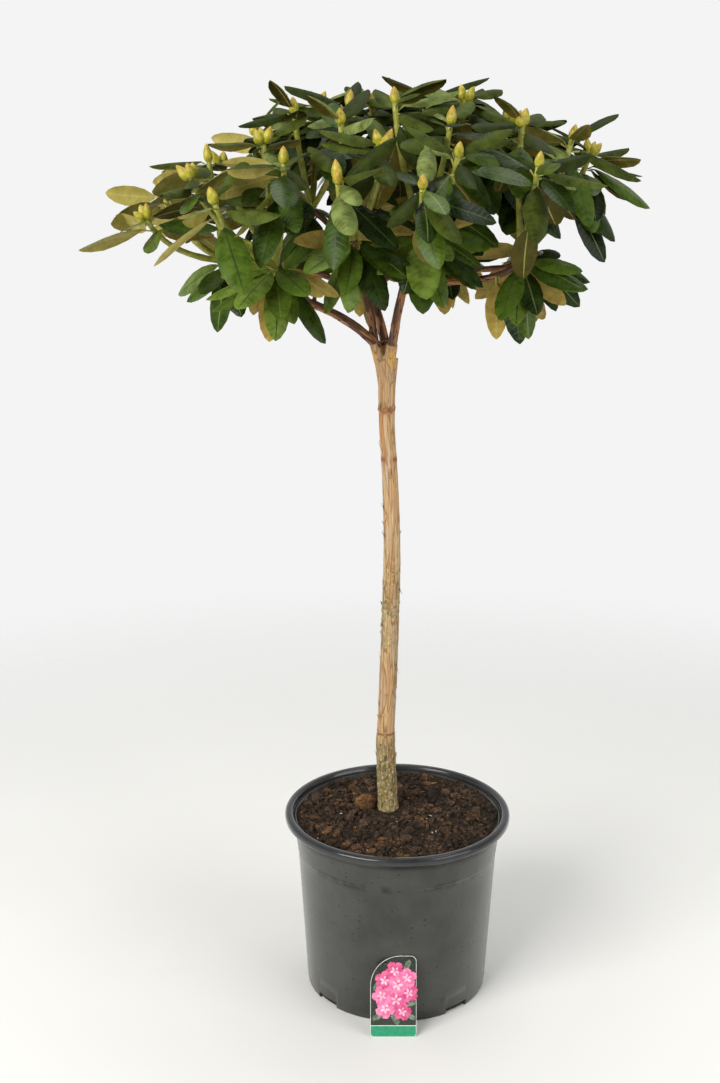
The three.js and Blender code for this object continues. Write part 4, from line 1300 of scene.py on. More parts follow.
# %% Relief of the limbs
LIMB_STRETCH = 1.4 * GRAIN_STRETCH
PEEL = {"size": (6, 6, 34), "below": 0.22, "edge": 0.16, "depth": 0.35}  # bark peels most on the underside
points, normals = mesh_arrays(limb_mesh)
grain = grain_along(points, limb_lines)
peel = smooth_step(0.0, PEEL["edge"], noise_at(grain, PEEL["size"], 3.0) - PEEL["below"] * normals[:, 2])
relief = plates(grain, LIMB_STRIPS)[0] + FIBRE * noise_at(grain, (1.6, 1.6, 9), 5.0) - PEEL["depth"] * peel
push(limb_mesh, points, normals, relief)
store(limb_mesh, "grain", grain * (1, 1, LIMB_STRETCH))
store(limb_mesh, "peel", peel)
print("relief of the limbs:", round(float(relief.min()), 2), "to", round(float(relief.max()), 2), "mm")

# %% [markdown]
# Bark is matt. Its pattern follows the grain, so the materials read the attributes stored above: the
# place along the grain gives the strips and streaks, and each mark of age or wear mixes in its own
# tint where its attribute is 1.

# %% Bark finishes
WOBBLE = 0.9  # how far the strips' edges wander, as a share of their width


def strips_of(finish, width, tints, streak_tint):
    """Strips of bark along the grain, each in its own tint, with fine streaks; and their seams, 0 in one."""
    grain = add_node(finish, "Attribute", attribute_name="grain", out="Vector")
    drift = add_node(finish, "TexNoise", {"Vector": grain, "Scale": 0.5 / width, "Detail": 2}, out="Color")
    wander = [drift, (WOBBLE * width,) * 3]
    moved = add_node(finish, "VectorMath", wander, operation="MULTIPLY")
    wavy = add_node(finish, "VectorMath", [grain, moved], operation="ADD")
    cells = {"Vector": wavy, "Scale": 1 / width}
    cell = add_node(finish, "TexVoronoi", cells, out="Color")
    edge = add_node(finish, "TexVoronoi", cells, feature="DISTANCE_TO_EDGE")
    tone = add_node(finish, "SeparateColor", {"Color": cell})
    stops = [(i / (len(tints) - 1), tint) for i, tint in enumerate(tints)]
    tint = add_node(finish, "ValToRGB", {"Fac": tone}, stops)
    fine = {"Vector": grain, "Scale": 3.4 / width, "Detail": 5, "Roughness": 0.7}
    streak = add_node(finish, "TexNoise", fine)
    share = add_node(finish, "MapRange", [streak, 0.48, 0.72, 0, 0.75])
    streaked = add_node(finish, "Mix", {0: share, 6: tint, 7: streak_tint}, out=2, data_type="RGBA")
    return streaked, edge, streak


# Stringy tan bark: long strips of cream, gold, tan and pink-grey with brown seams, olive with pale
# lichen at the foot, and bare golden wood under the limbs.
STEM_TINTS = ["#b58c5e", "#c9a97c", "#bd9a70", "#b69d8c", "#c4ae8d", "#b68455", "#ccb78f", "#bf9e76"]
MOSS_TINTS = [(0.36, "#4d4a22"), (0.45, "#84783f"), (0.53, "#a8965f"), (0.58, "#7f8440"), (0.63, "#dcdac8")]
MOSSED, CLOSED = 0.72, 0.8  # at the rough foot: how far moss hides the strips, and how far the seams close
stem_bark, shader = new_finish("stringy_tan_bark")
strips, seam, streak = strips_of(stem_bark, 4.6, STEM_TINTS, "#9c7045")
place = add_node(stem_bark, "TexCoord", out="Object")
spots = add_node(stem_bark, "TexNoise", {"Vector": place, "Scale": 230, "Detail": 4, "Roughness": 0.65})
mossy = add_node(stem_bark, "ValToRGB", {"Fac": spots}, MOSS_TINTS)
MARKS = ("rough", "bare", "scar", "chink")
mark = {name: add_node(stem_bark, "Attribute", attribute_name=name, out="Fac") for name in MARKS}
half_mossy = add_node(stem_bark, "Math", [mark["rough"], MOSSED], operation="MULTIPLY")
tint = strips
for share, marked in ((half_mossy, mossy), (mark["bare"], "#cfa45e"), (mark["scar"], "#86512c")):
    tint = add_node(stem_bark, "Mix", {0: share, 6: tint, 7: marked}, out=2, data_type="RGBA")
# At the rough foot the long seams close, and short chinks between scales open instead.
seam_tints = {0: mark["rough"], 6: "#8b6541", 7: "#3a3119"}
seam_tint = add_node(stem_bark, "Mix", seam_tints, out=2, data_type="RGBA")
closed = add_node(stem_bark, "Math", [mark["rough"], CLOSED], operation="MULTIPLY")
off_seam = add_node(stem_bark, "MapRange", [seam, 0, 0.08, 0, 1])
seam_closed = add_node(stem_bark, "Math", [off_seam, closed], operation="MAXIMUM")
cracked = add_node(stem_bark, "Mix", {0: seam_closed, 6: seam_tint, 7: tint}, out=2, data_type="RGBA")
chinked = add_node(stem_bark, "Mix", {0: mark["chink"], 6: cracked, 7: "#2f2a17"}, out=2, data_type="RGBA")
coarse = add_node(stem_bark, "Bump", {"Height": seam, "Strength": 0.5, "Distance": 0.002})
bump = add_node(stem_bark, "Bump", {"Height": streak, "Strength": 0.4, "Distance": 0.001, "Normal": coarse})
set_sockets(stem_bark, shader, {"Base Color": chinked, "Roughness": 0.88, "Normal": bump, "IOR": 1.45})

# Thin red-brown bark, purple-grey in places, with bright orange wood where it has peeled.
SKIN_TINTS = ["#4d3427", "#6f4c36", "#5f4539", "#7d583e", "#573d31", "#875f42"]
FLESH_TINTS = ["#9d6840", "#b27f54", "#bd9268", "#955d37"]
limb_bark, shader = new_finish("red_brown_limb_bark")
skin, seam, streak = strips_of(limb_bark, 4.0, SKIN_TINTS, "#3d281c")
flesh = strips_of(limb_bark, 3.2, FLESH_TINTS, "#85532f")[0]
peel = add_node(limb_bark, "Attribute", attribute_name="peel", out="Fac")
peeled = add_node(limb_bark, "Mix", {0: peel, 6: skin, 7: flesh}, out=2, data_type="RGBA")
off_seam = add_node(limb_bark, "MapRange", [seam, 0.01, 0.09, 0, 1])
cracked = add_node(limb_bark, "Mix", {0: off_seam, 6: "#3d251b", 7: peeled}, out=2, data_type="RGBA")
bump = add_node(limb_bark, "Bump", {"Height": streak, "Strength": 0.5, "Distance": 0.001})
set_sockets(limb_bark, shader, {"Base Color": cracked, "Roughness": 0.8, "Normal": bump, "IOR": 1.45})

for mesh, bark in ((stem_mesh, stem_bark), (limb_mesh, limb_bark)):
    mesh.materials.clear()
    mesh.materials.append(bark)
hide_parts("stem")
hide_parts(*["bough_" + name for name in LIMBS])

# %% [markdown]
# Small flakes of old bark stand off the stem. Each is a thin closed sheet of a dozen faces, curled
# away along its length: a cube cut in three, flattened and bent by its place along the flake.

# %% Curled flakes of bark
FLAKES = {
    "count": 110, "lowest": 285, "highest": 905, "length": (5, 15), "width": (2.2, 5), "thick": 0.35,
    "curl": 0.3, "sunk": 0.5, "narrowing": 0.6, "point_up": 0.7,
}
LOWER = 1.5  # a power that makes flakes more common low on the stem
bm = bmesh.new()
bmesh.ops.create_cube(bm, size=1)
long_edges = [e for e in bm.edges if abs(e.verts[0].co.x - e.verts[1].co.x) > 0.5]
bmesh.ops.subdivide_edges(bm, edges=long_edges, cuts=2)
flake_corners, flake_loops, flake_sizes = shape_arrays(bm)
share, aside, up = flake_corners.T
share = share + 0.5
narrowed = aside * (1 - FLAKES["narrowing"] * share**2)
dice = Dice(63)
places, slots = [], []
for _ in range(FLAKES["count"]):
    z = mix(FLAKES["lowest"], FLAKES["highest"], dice.chance() ** LOWER)
    out = bearing(dice.chance() * 360)
    length, width = mix(*FLAKES["length"], dice.chance()), mix(*FLAKES["width"], dice.chance())
    middle = np.array([np.interp(z, stem_heights, line) for line in stem_centres.T])
    root = middle + out * (np.interp(z, stem_heights, stem_radii) - FLAKES["sunk"])
    lifted = FLAKES["curl"] * length * mix(0.4, 1.2, dice.chance()) * share**2
    way = UP if dice.chance() < FLAKES["point_up"] else -UP
    sheet = np.outer(share * length, way) + np.outer(narrowed * width, np.cross(UP, out))
    places.append(root + sheet + np.outer(lifted + up * FLAKES["thick"], out))
    slots.append(np.full(len(flake_sizes), int(dice.chance() * 2)))
flake_finishes = [
    wood_finish("dry_bark_flake_tan", "#8c6a44", "#b08c60", "#cdb083", 0.85, 240),
    wood_finish("dry_bark_flake_grey", "#4f4630", "#726a4c", "#9a927a", 0.85, 240),
]
mesh = repeated_mesh("bark_flakes", np.array(places) * MM, flake_loops, flake_sizes, np.array(slots))
bm = bmesh.new()
bm.from_mesh(mesh)
bmesh.ops.recalc_face_normals(bm, faces=bm.faces)
flakes = piece_from(bm, "bark_flakes", flake_finishes, smooth=False)
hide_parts("stem")
print("bark flakes:", len(places), "of", len(flake_sizes), "faces")

# %% [markdown]
# ## Nursery pot
#
# A blow-moulded black pot: one thin wall with a small stacking step below the neck, a rolled lip, and
# eight slots round the foot that let the water out. A lathe shape suits it. The wall and floor are one
# chain of edges spun round the axis, with the slots' faces deleted and the Solidify modifier giving
# the wall its thickness. The lip is a closed profile, spun in the same way.

# %% Lathe
POT_STEPS = 192
MERGE = 1e-6  # metres: corners nearer than this are one


def spun(profile, closed, turn=0.0, steps=POT_STEPS):
    """Spins a profile of radius and height, in millimetres, into a bmesh."""
    bm = bmesh.new()
    east, north = math.cos(turn), math.sin(turn)
    corners = [bm.verts.new((r * east * MM, r * north * MM, z * MM)) for r, z in profile]
    edges = [bm.edges.new(pair) for pair in zip(corners, corners[1:])]
    if closed:
        edges.append(bm.edges.new((corners[-1], corners[0])))
    axis = {"axis": (0, 0, 1), "cent": (0, 0, 0), "angle": FULL_TURN}
    bmesh.ops.spin(bm, geom=corners + edges, **axis, steps=steps, use_merge=True)
    bmesh.ops.remove_doubles(bm, verts=bm.verts, dist=MERGE)
    bmesh.ops.recalc_face_normals(bm, faces=bm.faces)
    return bm


def rounded(corner, before, after, radius, steps=4):
    """A profile's corner turned into a short arc between the two points beside it."""
    corner, before, after = (np.array(p, float) for p in (corner, before, after))
    start = corner + unit(before - corner) * radius
    end = corner + unit(after - corner) * radius
    return [tuple(bezier([start, corner, end], t)) for t in np.linspace(0, 1, steps + 1)]


# %% Pot wall and floor
POT = {
    "height": 280, "base": 137, "shoulder_height": 222, "shoulder": 150.3, "step": 1, "neck": 155.5,
    "mouth": 158, "lip": 170, "lip_drop": 11, "wall": 2.4, "floor": 3,
}
# The first slot's bearing is in degrees, and each is so many columns of faces wide.
SLOT = {"count": 8, "first": 219.6, "columns": 9, "height": 10, "reach": 14}


def wall_radius(height):
    """The pot's outer radius, up to its step."""
    return mix(POT["base"], POT["shoulder"], height / POT["shoulder_height"])


lip_foot = POT["height"] - POT["lip_drop"]
base, shoulder, neck = (POT["base"], 0), (POT["shoulder"], POT["shoulder_height"]), POT["neck"]
above_shoulder = (POT["shoulder"] + POT["step"], POT["shoulder_height"] + 0.5)
skin = [(r, 0) for r in (0, 40, 80, POT["base"] - SLOT["reach"])]
skin += rounded(base, skin[-1], (wall_radius(20), 20), 3)
skin += [(wall_radius(z), z) for z in (SLOT["height"], 40, 80, 120, 160, 200)]
skin += rounded(shoulder, (wall_radius(200), 200), above_shoulder, 1, 2)
skin += [(POT["shoulder"] + POT["step"], POT["shoulder_height"] + 2), (neck - 1, 250), (neck, lip_foot + 3)]
column = FULL_TURN / POT_STEPS
bm = spun(skin, False, math.radians(SLOT["first"]) - SLOT["columns"] / 2 * column)
slot_turns = [math.radians(SLOT["first"]) + k * FULL_TURN / SLOT["count"] for k in range(SLOT["count"])]
in_slot = []
for face in bm.faces:
    middle = face.calc_center_median()
    radius, turn = math.hypot(middle.x, middle.y), math.atan2(middle.y, middle.x)
    low_enough = middle.z < SLOT["height"] * MM and radius > (POT["base"] - SLOT["reach"]) * MM
    nearest = min(abs(math.remainder(turn - slot, FULL_TURN)) for slot in slot_turns)
    if low_enough and nearest < SLOT["columns"] / 2 * column:
        in_slot.append(face)
bmesh.ops.delete(bm, geom=in_slot, context="FACES")

# %% [markdown]
# Moulded polyethylene shines softly under a film of dust. That is a dark grey shader with a weak
# specular level, under a clear coat that gives the broad soft shine. Smaller things lie on it: drops
# of water, as the middles of some Voronoi cells, which are darker, smoother and stand up. Along the
# step the colour is darker in patches.

# %% Pot finishes
# Darker patches along the step: how far from it they begin to fade, and where they end.
STEP_HALF, STEP_FADE = 0.002, 0.008  # metres from the step where the dirt begins to fade, and where it ends
DRY_CELLS = 0.45  # the share of cells without a drop
DROP_SIZE, DROP_EDGE = 0.3, 0.07  # as shares of a cell


def plastic_finish(name, shade, light, roughness, step_darkening, coat_roughness):
    """Black plastic: dusty tints, dark wet drops, and darker patches along the step."""
    finish, shader = new_finish(name)
    place = add_node(finish, "TexCoord", out="Object")
    dust = add_node(finish, "TexNoise", {"Vector": place, "Scale": 14, "Detail": 6, "Roughness": 0.65})
    tint = add_node(finish, "ValToRGB", {"Fac": dust}, [(0.35, shade), (0.7, light)])
    cells = add_node(finish, "TexVoronoi", {"Vector": place, "Scale": 105}, out=None)
    tone = add_node(finish, "SeparateColor", {"Color": cells.outputs["Color"]})
    size = add_node(finish, "MapRange", [tone, DRY_CELLS, 1, 0, DROP_SIZE])
    depth = add_node(finish, "Math", [size, cells.outputs["Distance"]], operation="SUBTRACT")
    drop = add_node(finish, "MapRange", [depth, 0, DROP_EDGE])
    height = add_node(finish, "SeparateXYZ", {"Vector": place}, out="Z")
    from_step = add_node(finish, "Math", [height, POT["shoulder_height"] * MM], operation="SUBTRACT")
    distance = add_node(finish, "Math", [from_step], operation="ABSOLUTE")
    # Near the step the colour is mixed in patches towards near black.
    near_step = add_node(finish, "MapRange", [distance, STEP_HALF, STEP_FADE, step_darkening, 0])
    blotch = add_node(finish, "TexNoise", {"Vector": place, "Scale": 34, "Detail": 4})
    patchy = add_node(finish, "MapRange", [blotch, 0.46, 0.56])
    darker_at_step = add_node(finish, "Math", [near_step, patchy], operation="MULTIPLY")
    half_wet = add_node(finish, "MapRange", [drop, 0, 1, 0, 0.5])
    wet = add_node(finish, "Mix", {0: half_wet, 6: tint, 7: "#151617"}, out=2, data_type="RGBA")
    colour = add_node(finish, "Mix", {0: darker_at_step, 6: wet, 7: "#0f1010"}, out=2, data_type="RGBA")
    rough = add_node(finish, "MapRange", [dust, 0.3, 0.7, roughness - 0.06, roughness + 0.06])
    wet_rough = add_node(finish, "Math", [drop, -0.2, rough], operation="MULTIPLY_ADD")
    bump = add_node(finish, "Bump", {"Height": drop, "Strength": 0.6, "Distance": 0.0006})
    sockets = {"Base Color": colour, "Roughness": wet_rough, "Normal": bump, "IOR": 1.5}
    coat = {"Coat Weight": 1.0, "Coat IOR": 1.34, "Coat Roughness": coat_roughness}
    set_sockets(finish, shader, sockets | coat | {"Specular IOR Level": 0.25})
    return finish


plastic = plastic_finish("satin_black_plastic", "#2b2c2a", "#3f403d", 0.36, 0.95, 0.26)
wet_plastic = plastic_finish("wet_black_plastic", "#202122", "#343637", 0.24, 0, 0.08)
pot_wall = piece_from(bm, "pot_wall", [plastic])
thick = pot_wall.modifiers.new("wall", "SOLIDIFY")
thick.thickness = POT["wall"] * MM
thick.offset = -1
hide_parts("pot")

# %% Rolled lip
top, lip_out, mouth, inside = POT["height"], POT["lip"], POT["mouth"], neck - POT["wall"]
lip_profile = [
    *rounded((lip_out, lip_foot), (neck, lip_foot), (lip_out, top), 3),
    *rounded((lip_out, top), (lip_out, lip_foot), (mouth, top), 5.5, 6),
    *rounded((mouth, top), (lip_out, top), (mouth - 1, lip_foot), 4, 5),
    (inside, lip_foot - 2),
    (neck - POT["wall"] / 2, lip_foot - 4),
    (neck + 0.4, lip_foot - 1),
    (neck + 2, lip_foot),
]
lip = piece_from(spun(lip_profile, True), "pot_lip", [wet_plastic])
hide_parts("pot")
print("pot faces:", len(pot_wall.data.polygons) + len(lip.data.polygons))

# %% [markdown]
# ## Compost
#
# Dark bark compost, lumpy, with chips, fibres and a few white grains. The lumps are a spun disc whose
# corners are lifted by noise at three sizes. The loose pieces are a chunk of twenty faces, repeated
# with its own size, turn and colour each time and laid on that surface.

# %% Compost surface
SOIL = {"level": 268, "edge_rise": 2.5, "ring": 2.6, "steps": 224}
LUMPS = [(26, 4.5, 0), (9, 3.6, 4)]  # millimetres across, millimetres high, and a shift of the noise
CRUMBS = (3.6, 1.6, 8)  # the same, and these reach up to the stem
AT_STEM, STEM_RISE = 26, 1.2  # round the stem, within so many millimetres, it is level and so much higher
soil_edge = POT["neck"] - POT["wall"] - 3 * GAP
STEM_FOOT = np.array(STEM_LINE[0][:2], float)


def lumpy(x, y, across, high, shift):
    """The height of one size of lumps at one place."""
    return high * noise.noise((x / across, y / across, shift))


def soil_height(x, y):
    """The compost's height at one place, in millimetres."""
    share = math.hypot(x, y) / soil_edge
    near_stem = math.exp(-((math.dist((x, y), STEM_FOOT) / AT_STEM) ** 2))
    lumps = sum(lumpy(x, y, *size) for size in LUMPS)
    ground = SOIL["level"] + (1 - near_stem) * lumps + lumpy(x, y, *CRUMBS)
    return ground + STEM_RISE * near_stem + SOIL["edge_rise"] * share**6


profile = [(0, POT["floor"] + GAP), (wall_radius(0) - POT["wall"] - GAP, POT["floor"] + GAP)]
profile += [(POT["shoulder"] - POT["wall"] - 2 * GAP, POT["shoulder_height"])]
profile += [(soil_edge, 250), (soil_edge, SOIL["level"] - 2)]
profile += [(r, SOIL["level"]) for r in np.arange(0, soil_edge, SOIL["ring"])[::-1]]
bm = spun(profile, False, steps=SOIL["steps"])
for corner in bm.verts:
    x, y, z = corner.co / MM
    if z > SOIL["level"] - 4:
        corner.co.z = soil_height(x, y) * MM


def earth_finish(name, shade, middle, light):
    """Damp crumbly stuff: three tints in fine grains, darker damp patches, and a strong rough relief."""
    finish, shader = new_finish(name)
    place = add_node(finish, "TexCoord", out="Object")
    grains = add_node(finish, "TexNoise", {"Vector": place, "Scale": 260, "Detail": 5, "Roughness": 0.7})
    tint = add_node(finish, "ValToRGB", {"Fac": grains}, [(0.32, shade), (0.5, middle), (0.68, light)])
    patches = add_node(finish, "TexNoise", {"Vector": place, "Scale": 26, "Detail": 3})
    damp = add_node(finish, "MapRange", [patches, 0.45, 0.6, 0, 0.62])
    colour = add_node(finish, "Mix", {0: damp, 6: tint, 7: "#17110b"}, out=2, data_type="RGBA")
    bump = add_node(finish, "Bump", {"Height": grains, "Strength": 0.8, "Distance": 0.002})
    set_sockets(finish, shader, {"Base Color": colour, "Roughness": 0.95, "Normal": bump, "IOR": 1.4})
    return finish


compost = earth_finish("damp_bark_compost", "#1c150e", "#31251a", "#51402f")
soil = piece_from(bm, "compost", [compost])
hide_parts("soil")
print("compost faces:", len(soil.data.polygons))

# %% Chips, crumbs and grains
SMALL_ONES = 1.6  # a power that makes small pieces more common
TILT, TIP, UNEVEN, STANDS_UP = 0.35, 0.3, 0.22, 0.22  # slopes, and shares of a piece's size and height
CLEAR_STEM = 17  # millimetres from the stem's middle
# name, count, length, width and height as shares of it, tints
CHUNKS = [
    ("crumb", 1900, (3, 12), (0.6, 0.9), (0.5, 0.75), ("#20170f", "#3d2e21", "#6b553f")),
    ("clod", 70, (10, 24), (0.6, 0.85), (0.4, 0.6), ("#2c2017", "#4e3a2b", "#7d6049")),
    ("brown_chip", 120, (6, 24), (0.4, 0.7), (0.2, 0.35), ("#382416", "#65462a", "#9a7549")),
    ("red_chip", 22, (6, 14), (0.4, 0.7), (0.2, 0.4), ("#4a2c1b", "#6c452c", "#946a48")),
    ("fibre", 40, (8, 24), (0.12, 0.2), (0.06, 0.1), ("#96774e", "#c4a672", "#e4d0a6")),
    ("pale_grain", 20, (3, 6), (0.7, 0.9), (0.5, 0.8), ("#b9ad93", "#d8cfb8", "#ece6d6")),
]
bm = bmesh.new()
bmesh.ops.create_icosphere(bm, subdivisions=1, radius=0.5)
chunk_corners, chunk_loops, chunk_sizes = shape_arrays(bm)
dice = Dice(9)
places, slots = [], []
for kind, (_, count, lengths, widths, heights, _) in enumerate(CHUNKS):
    for _ in range(count):
        turn, radius = dice.chance() * FULL_TURN, (soil_edge - 5) * math.sqrt(dice.chance())
        x, y = radius * math.cos(turn), radius * math.sin(turn)
        length = mix(*lengths, dice.chance() ** SMALL_ONES)
        size = length * np.array([1, mix(*widths, dice.chance()), mix(*heights, dice.chance())])
        if math.dist((x, y), STEM_FOOT) < CLEAR_STEM + length / 2 or radius + length / 2 > soil_edge:
            continue
        yaw, pitch, tip = dice.chance() * FULL_TURN, dice.vary(TILT), dice.vary(TIP)
        jitter = 1 + UNEVEN * np.array([[dice.vary(1) for _ in range(3)] for _ in chunk_corners])
        u, v, w = (chunk_corners * jitter * size).T
        w = w + (u * math.sin(pitch) + v * math.sin(tip))
        east, north = u * math.cos(yaw) - v * math.sin(yaw), u * math.sin(yaw) + v * math.cos(yaw)
        up = w + soil_height(x, y) + size[2] * STANDS_UP
        places.append(np.column_stack([x + east, y + north, up]))
        slots.append(np.full(len(chunk_sizes), kind))
chip_finishes = [earth_finish(chunk[0], *chunk[5]) for chunk in CHUNKS]
mesh = repeated_mesh("compost_chips", np.array(places) * MM, chunk_loops, chunk_sizes, np.array(slots))
chips = place_piece(mesh, "compost_chips", chip_finishes, smooth=False)
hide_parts("soil")
print("loose pieces on the compost:", len(places))

# %% Clay ball
# A rusty ball of clay lies by the stem's foot.
CLAY = {"x": -48, "y": 28, "radius": 16, "flat": 0.78, "detail": 4, "sits": 0.45}
CLAY_LUMPS = [(8, 0.16), (3.2, 0.14)]  # millimetres across, and height as a share of the radius
bm = bmesh.new()
bmesh.ops.create_icosphere(bm, subdivisions=CLAY["detail"], radius=CLAY["radius"])
clay_middle = soil_height(CLAY["x"], CLAY["y"]) + CLAY["radius"] * CLAY["sits"]
for corner in bm.verts:
    x, y, z = corner.co * (1 + sum(high * noise.noise(corner.co / across) for across, high in CLAY_LUMPS))
    corner.co = Vector((x + CLAY["x"], y + CLAY["y"], z * CLAY["flat"] + clay_middle)) * MM
clay = piece_from(bm, "clay_ball", [earth_finish("rusty_clay", "#38240f", "#74502c", "#a57a4a")])
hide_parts("soil")
print("clay ball faces:", len(clay.data.polygons))

# %% [markdown]
# ## Plant label
#
# A printed card leans against the pot: one corner is a wide sweep, the others are small rounds. The
# card is a flat grid of one cell whose corners are bevelled, each by its own amount, then extruded.
# The print lies on it as thin inlays: a dark ground, a cluster of five-petalled blossoms with leaves
# round it, and a plain green band along the foot. Nothing is written on it.

# %% Card
LABEL = {
    "width": 67, "height": 118, "thick": 1, "lean": 15, "middle": -8, "band": 16, "edge": 0.6, "ink": 0.09,
}
CARD_CORNERS = {"top_left": 44, "top_right": 8, "foot": 6}  # radii
HOLE = {"radius": 2, "from_left": 22, "from_top": 10, "sides": 20}
BEVEL_STEPS = 12
label_lean = math.radians(LABEL["lean"])
back_at_top = -(wall_radius(LABEL["height"] * math.cos(label_lean)) + GAP)
label_foot = np.array([LABEL["middle"], back_at_top - LABEL["height"] * math.sin(label_lean), GAP])
label_up = np.array([0, math.sin(label_lean), math.cos(label_lean)])
label_out = np.array([0, -math.cos(label_lean), math.sin(label_lean)])


def on_card(x, y, z):
    """A place on the leaning card: x across, y up from its foot, z in front of its back."""
    return Vector((label_foot + np.array([x, 0, 0]) + label_up * y + label_out * z) * MM)


def card_shape(inset, foot, top):
    """A flat face with the card's rounded corners, between two heights on it."""
    bm = bmesh.new()
    half = LABEL["width"] / 2 - inset
    bmesh.ops.create_grid(bm, x_segments=1, y_segments=1, size=1)
    for corner in bm.verts:
        corner.co = (corner.co.x * half, foot if corner.co.y < 0 else top, 0)
    rounds = []
    if top > LABEL["height"] - 2 * LABEL["edge"]:
        rounds += [(-1, 1, CARD_CORNERS["top_left"]), (1, 1, CARD_CORNERS["top_right"])]
    if foot < 2 * LABEL["edge"]:
        rounds += [(-1, -1, CARD_CORNERS["foot"]), (1, -1, CARD_CORNERS["foot"])]
    for side, end, radius in rounds:
        # The corner is found again each time, as a bevel makes new ones.
        corner = max(bm.verts, key=lambda v: v.co.x * side + v.co.y * end)
        shape = {"segments": BEVEL_STEPS, "profile": 0.5, "affect": "VERTICES", "material": -1}
        bmesh.ops.bevel(bm, geom=[corner], offset=radius - inset, **shape)
    return bm


def with_hole(bm):
    """The same flat shape, filled again round the small hole near its top."""
    bmesh.ops.delete(bm, geom=list(bm.faces), context="FACES_ONLY")
    ring = bmesh.ops.create_circle(bm, segments=HOLE["sides"], radius=HOLE["radius"])["verts"]
    place = Vector((HOLE["from_left"] - LABEL["width"] / 2, LABEL["height"] - HOLE["from_top"], 0))
    bmesh.ops.translate(bm, verts=ring, vec=place)
    bmesh.ops.triangle_fill(bm, edges=list(bm.edges), use_beauty=True, normal=(0, 0, 1))
    return bm


def stand_on_card(bm, depth, z):
    """Extrudes a flat shape to a depth and stands it on the card, z in front of its back."""
    faces = list(bm.faces)
    moved = bmesh.ops.extrude_face_region(bm, geom=faces)["geom"]
    for corner in moved:
        if isinstance(corner, bmesh.types.BMVert):
            corner.co.z = depth
    bmesh.ops.recalc_face_normals(bm, faces=bm.faces)
    for corner in bm.verts:
        corner.co = on_card(corner.co.x, corner.co.y, corner.co.z + z)
    return bm


def print_finish(name, shade, light, scale=300):
    """Glossy printed card: ink between two near tints under a clear film."""
    finish, shader = new_finish(name)
    place = add_node(finish, "TexCoord", out="Object")
    blot = add_node(finish, "TexNoise", {"Vector": place, "Scale": scale, "Detail": 3})
    tint = add_node(finish, "ValToRGB", {"Fac": blot}, [(0.35, shade), (0.65, light)])
    set_sockets(finish, shader, {"Base Color": tint, "Roughness": 0.32, "Coat Weight": 0.3, "IOR": 1.5})
    return finish


card_white = print_finish("white_card", "#dfe3dc", "#eef0ea")
card_face = with_hole(card_shape(0, 0, LABEL["height"]))
card = piece_from(stand_on_card(card_face, LABEL["thick"], 0), "label_card", [card_white], False)
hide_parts("label")

ink, edge = LABEL["ink"], LABEL["edge"]
ground_shape = with_hole(card_shape(edge, LABEL["band"] + 1, LABEL["height"] - edge))
band_shape = card_shape(edge, edge, LABEL["band"])
for shape, name, tints in (
    (ground_shape, "label_ground", ("#1f2621", "#343c33")),
    (band_shape, "label_band", ("#1d8a62", "#279a70")),
):
    layer = piece_from(stand_on_card(shape, ink, LABEL["thick"]), name, [print_finish(name, *tints)], False)
    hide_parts("label")
print("card faces:", len(card.data.polygons))

# %% Blossoms and leaves of the print
# x, y, size and turn of each blossom, then of each leaf, in millimetres and degrees
BLOSSOMS = [
    (2, 96, 13, 50), (20, 86, 13, 20), (-13, 82, 13, 10), (6, 76, 15, 0), (22, 64, 13, 35),
    (-17, 60, 13, 40), (4, 54, 15, 15), (-12, 41, 13, 60), (13, 37, 12, 5),
]
PRINT_LEAVES = [
    (-25, 74, 8, 60), (-23, 29, 9, 200), (2, 27, 10, 300), (25, 30, 8, 330), (25, 48, 8, 20),
    (20, 104, 9, 60),
]
LEAF_NARROW, PETALS = 0.42, 5
SHAPE_SIDES, WAVES, WAVE_SIZE, FLARE = 14, 7, 0.1, 0.25  # a printed shape is an ellipse with a wavy rim
ABOVE = 0.004  # millimetres that each shape lies above the one before


def print_layer(shapes, level, name, tints):
    """Prints flat shapes on the card: where each lies, its half length and half width, and its turn."""
    bm = bmesh.new()
    for i, (x, y, length, width, angle) in enumerate(shapes):
        part = bmesh.new()
        bmesh.ops.create_circle(part, cap_ends=True, segments=SHAPE_SIDES, radius=1)
        cosine, sine = math.cos(angle), math.sin(angle)
        for corner in part.verts:
            wave = 1 + WAVE_SIZE * math.cos(WAVES * math.atan2(corner.co.y, corner.co.x) + i)
            u, v = corner.co.x * length * wave, corner.co.y * width * wave * (1 + FLARE * corner.co.x)
            corner.co = (x + u * cosine - v * sine, y + u * sine + v * cosine, 0)
        add_to(bm, stand_on_card(part, ink + ABOVE * i, LABEL["thick"] + ink * level))
    layer = piece_from(bm, name, [print_finish(name, *tints, 160)], False)
    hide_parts("label")
    print(name + ":", len(shapes), "shapes")


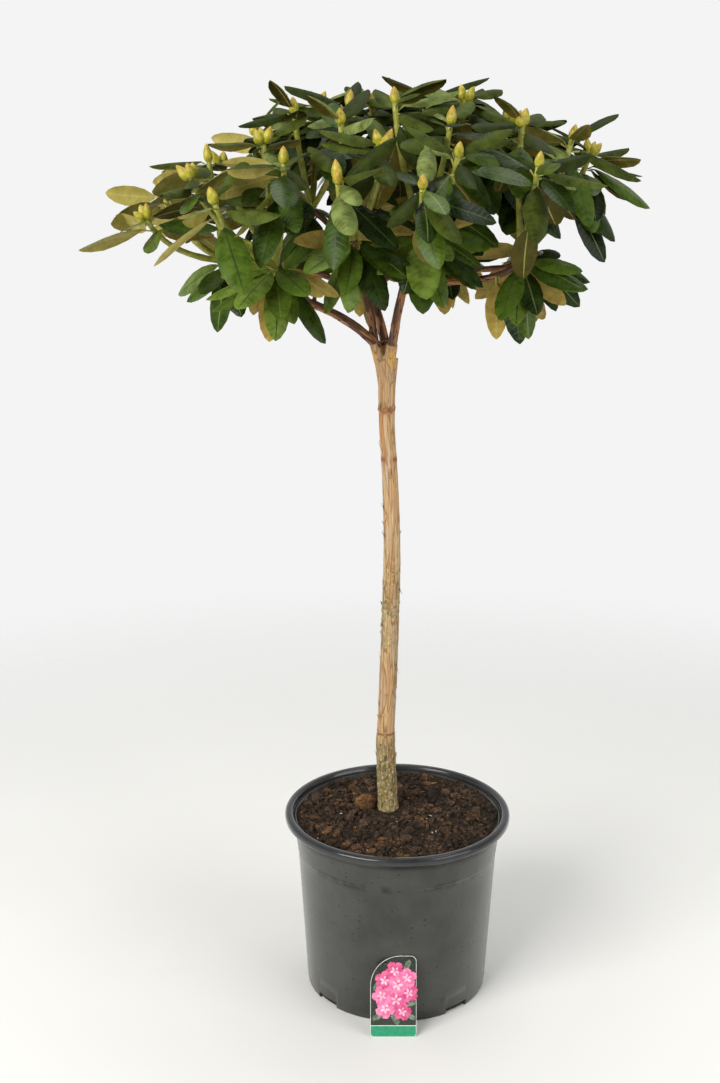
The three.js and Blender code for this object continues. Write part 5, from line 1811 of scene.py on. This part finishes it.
def petals_of(blossoms, reach, length, width):
    """Five petals for each blossom, as shares of its size: how far out, how long and how wide."""
    petals = []
    for x, y, size, turn in blossoms:
        for k in range(PETALS):
            angle = math.radians(turn) + FULL_TURN * k / PETALS
            middle = x + reach * size * math.cos(angle), y + reach * size * math.sin(angle)
            petals.append((*middle, length * size, width * size, angle))
    return petals


printed_leaves = [(x, y, size, size * LEAF_NARROW, math.radians(turn)) for x, y, size, turn in PRINT_LEAVES]
hearts = [(x + 1, y + 2, 0.12 * size, 0.08 * size, 1) for x, y, size, _ in BLOSSOMS]
for shapes, level, name, tints in (
    (printed_leaves, 1, "label_leaves", ("#3f5240", "#7f917a")),
    (petals_of(BLOSSOMS[::2], 0.56, 0.56, 0.46), 2, "label_petals_deep", ("#cb3f78", "#e56f9f")),
    (petals_of(BLOSSOMS[1::2], 0.56, 0.56, 0.46), 5, "label_petals_pale", ("#dd5f95", "#f295bb")),
    (petals_of(BLOSSOMS, 0.3, 0.24, 0.12), 8, "label_throats", ("#efa3c6", "#fad6e7")),
    (hearts, 11, "label_hearts", ("#d8653a", "#e5834a")),
):
    print_layer(shapes, level, name, tints)

# %% [markdown]
# ## Floor
#
# A wide pale disc under the pot. Far out it fades into the white of the room, so no edge shows.

# %% Floor
FLOOR_RADIUS, FLOOR_SOLID = 2.2, 0.28  # metres, and the share of it that is fully opaque
paper, shader = new_finish("matt_white_paper")
place = add_node(paper, "TexCoord", out="Object")
mottle = add_node(paper, "TexNoise", {"Vector": place, "Scale": 3})
tint = add_node(paper, "ValToRGB", {"Fac": mottle}, [(0, "#f1f1ef"), (1, "#f6f6f4")])
out = add_node(paper, "VectorMath", {0: place}, out="Value", operation="LENGTH")
fading = [out, FLOOR_RADIUS * FLOOR_SOLID, FLOOR_RADIUS, 1, 0]
fade = add_node(paper, "MapRange", fading, interpolation_type="SMOOTHSTEP")
set_sockets(paper, shader, {"Base Color": tint, "Roughness": 0.7, "IOR": 1.45, "Alpha": fade})
bm = bmesh.new()
bmesh.ops.create_circle(bm, cap_ends=True, segments=64, radius=FLOOR_RADIUS)
mesh = bpy.data.meshes.new("floor")
bm.to_mesh(mesh)
bm.free()
mesh.materials.append(paper)
ground = bpy.data.objects.new("floor", mesh)
bpy.context.collection.objects.link(ground)
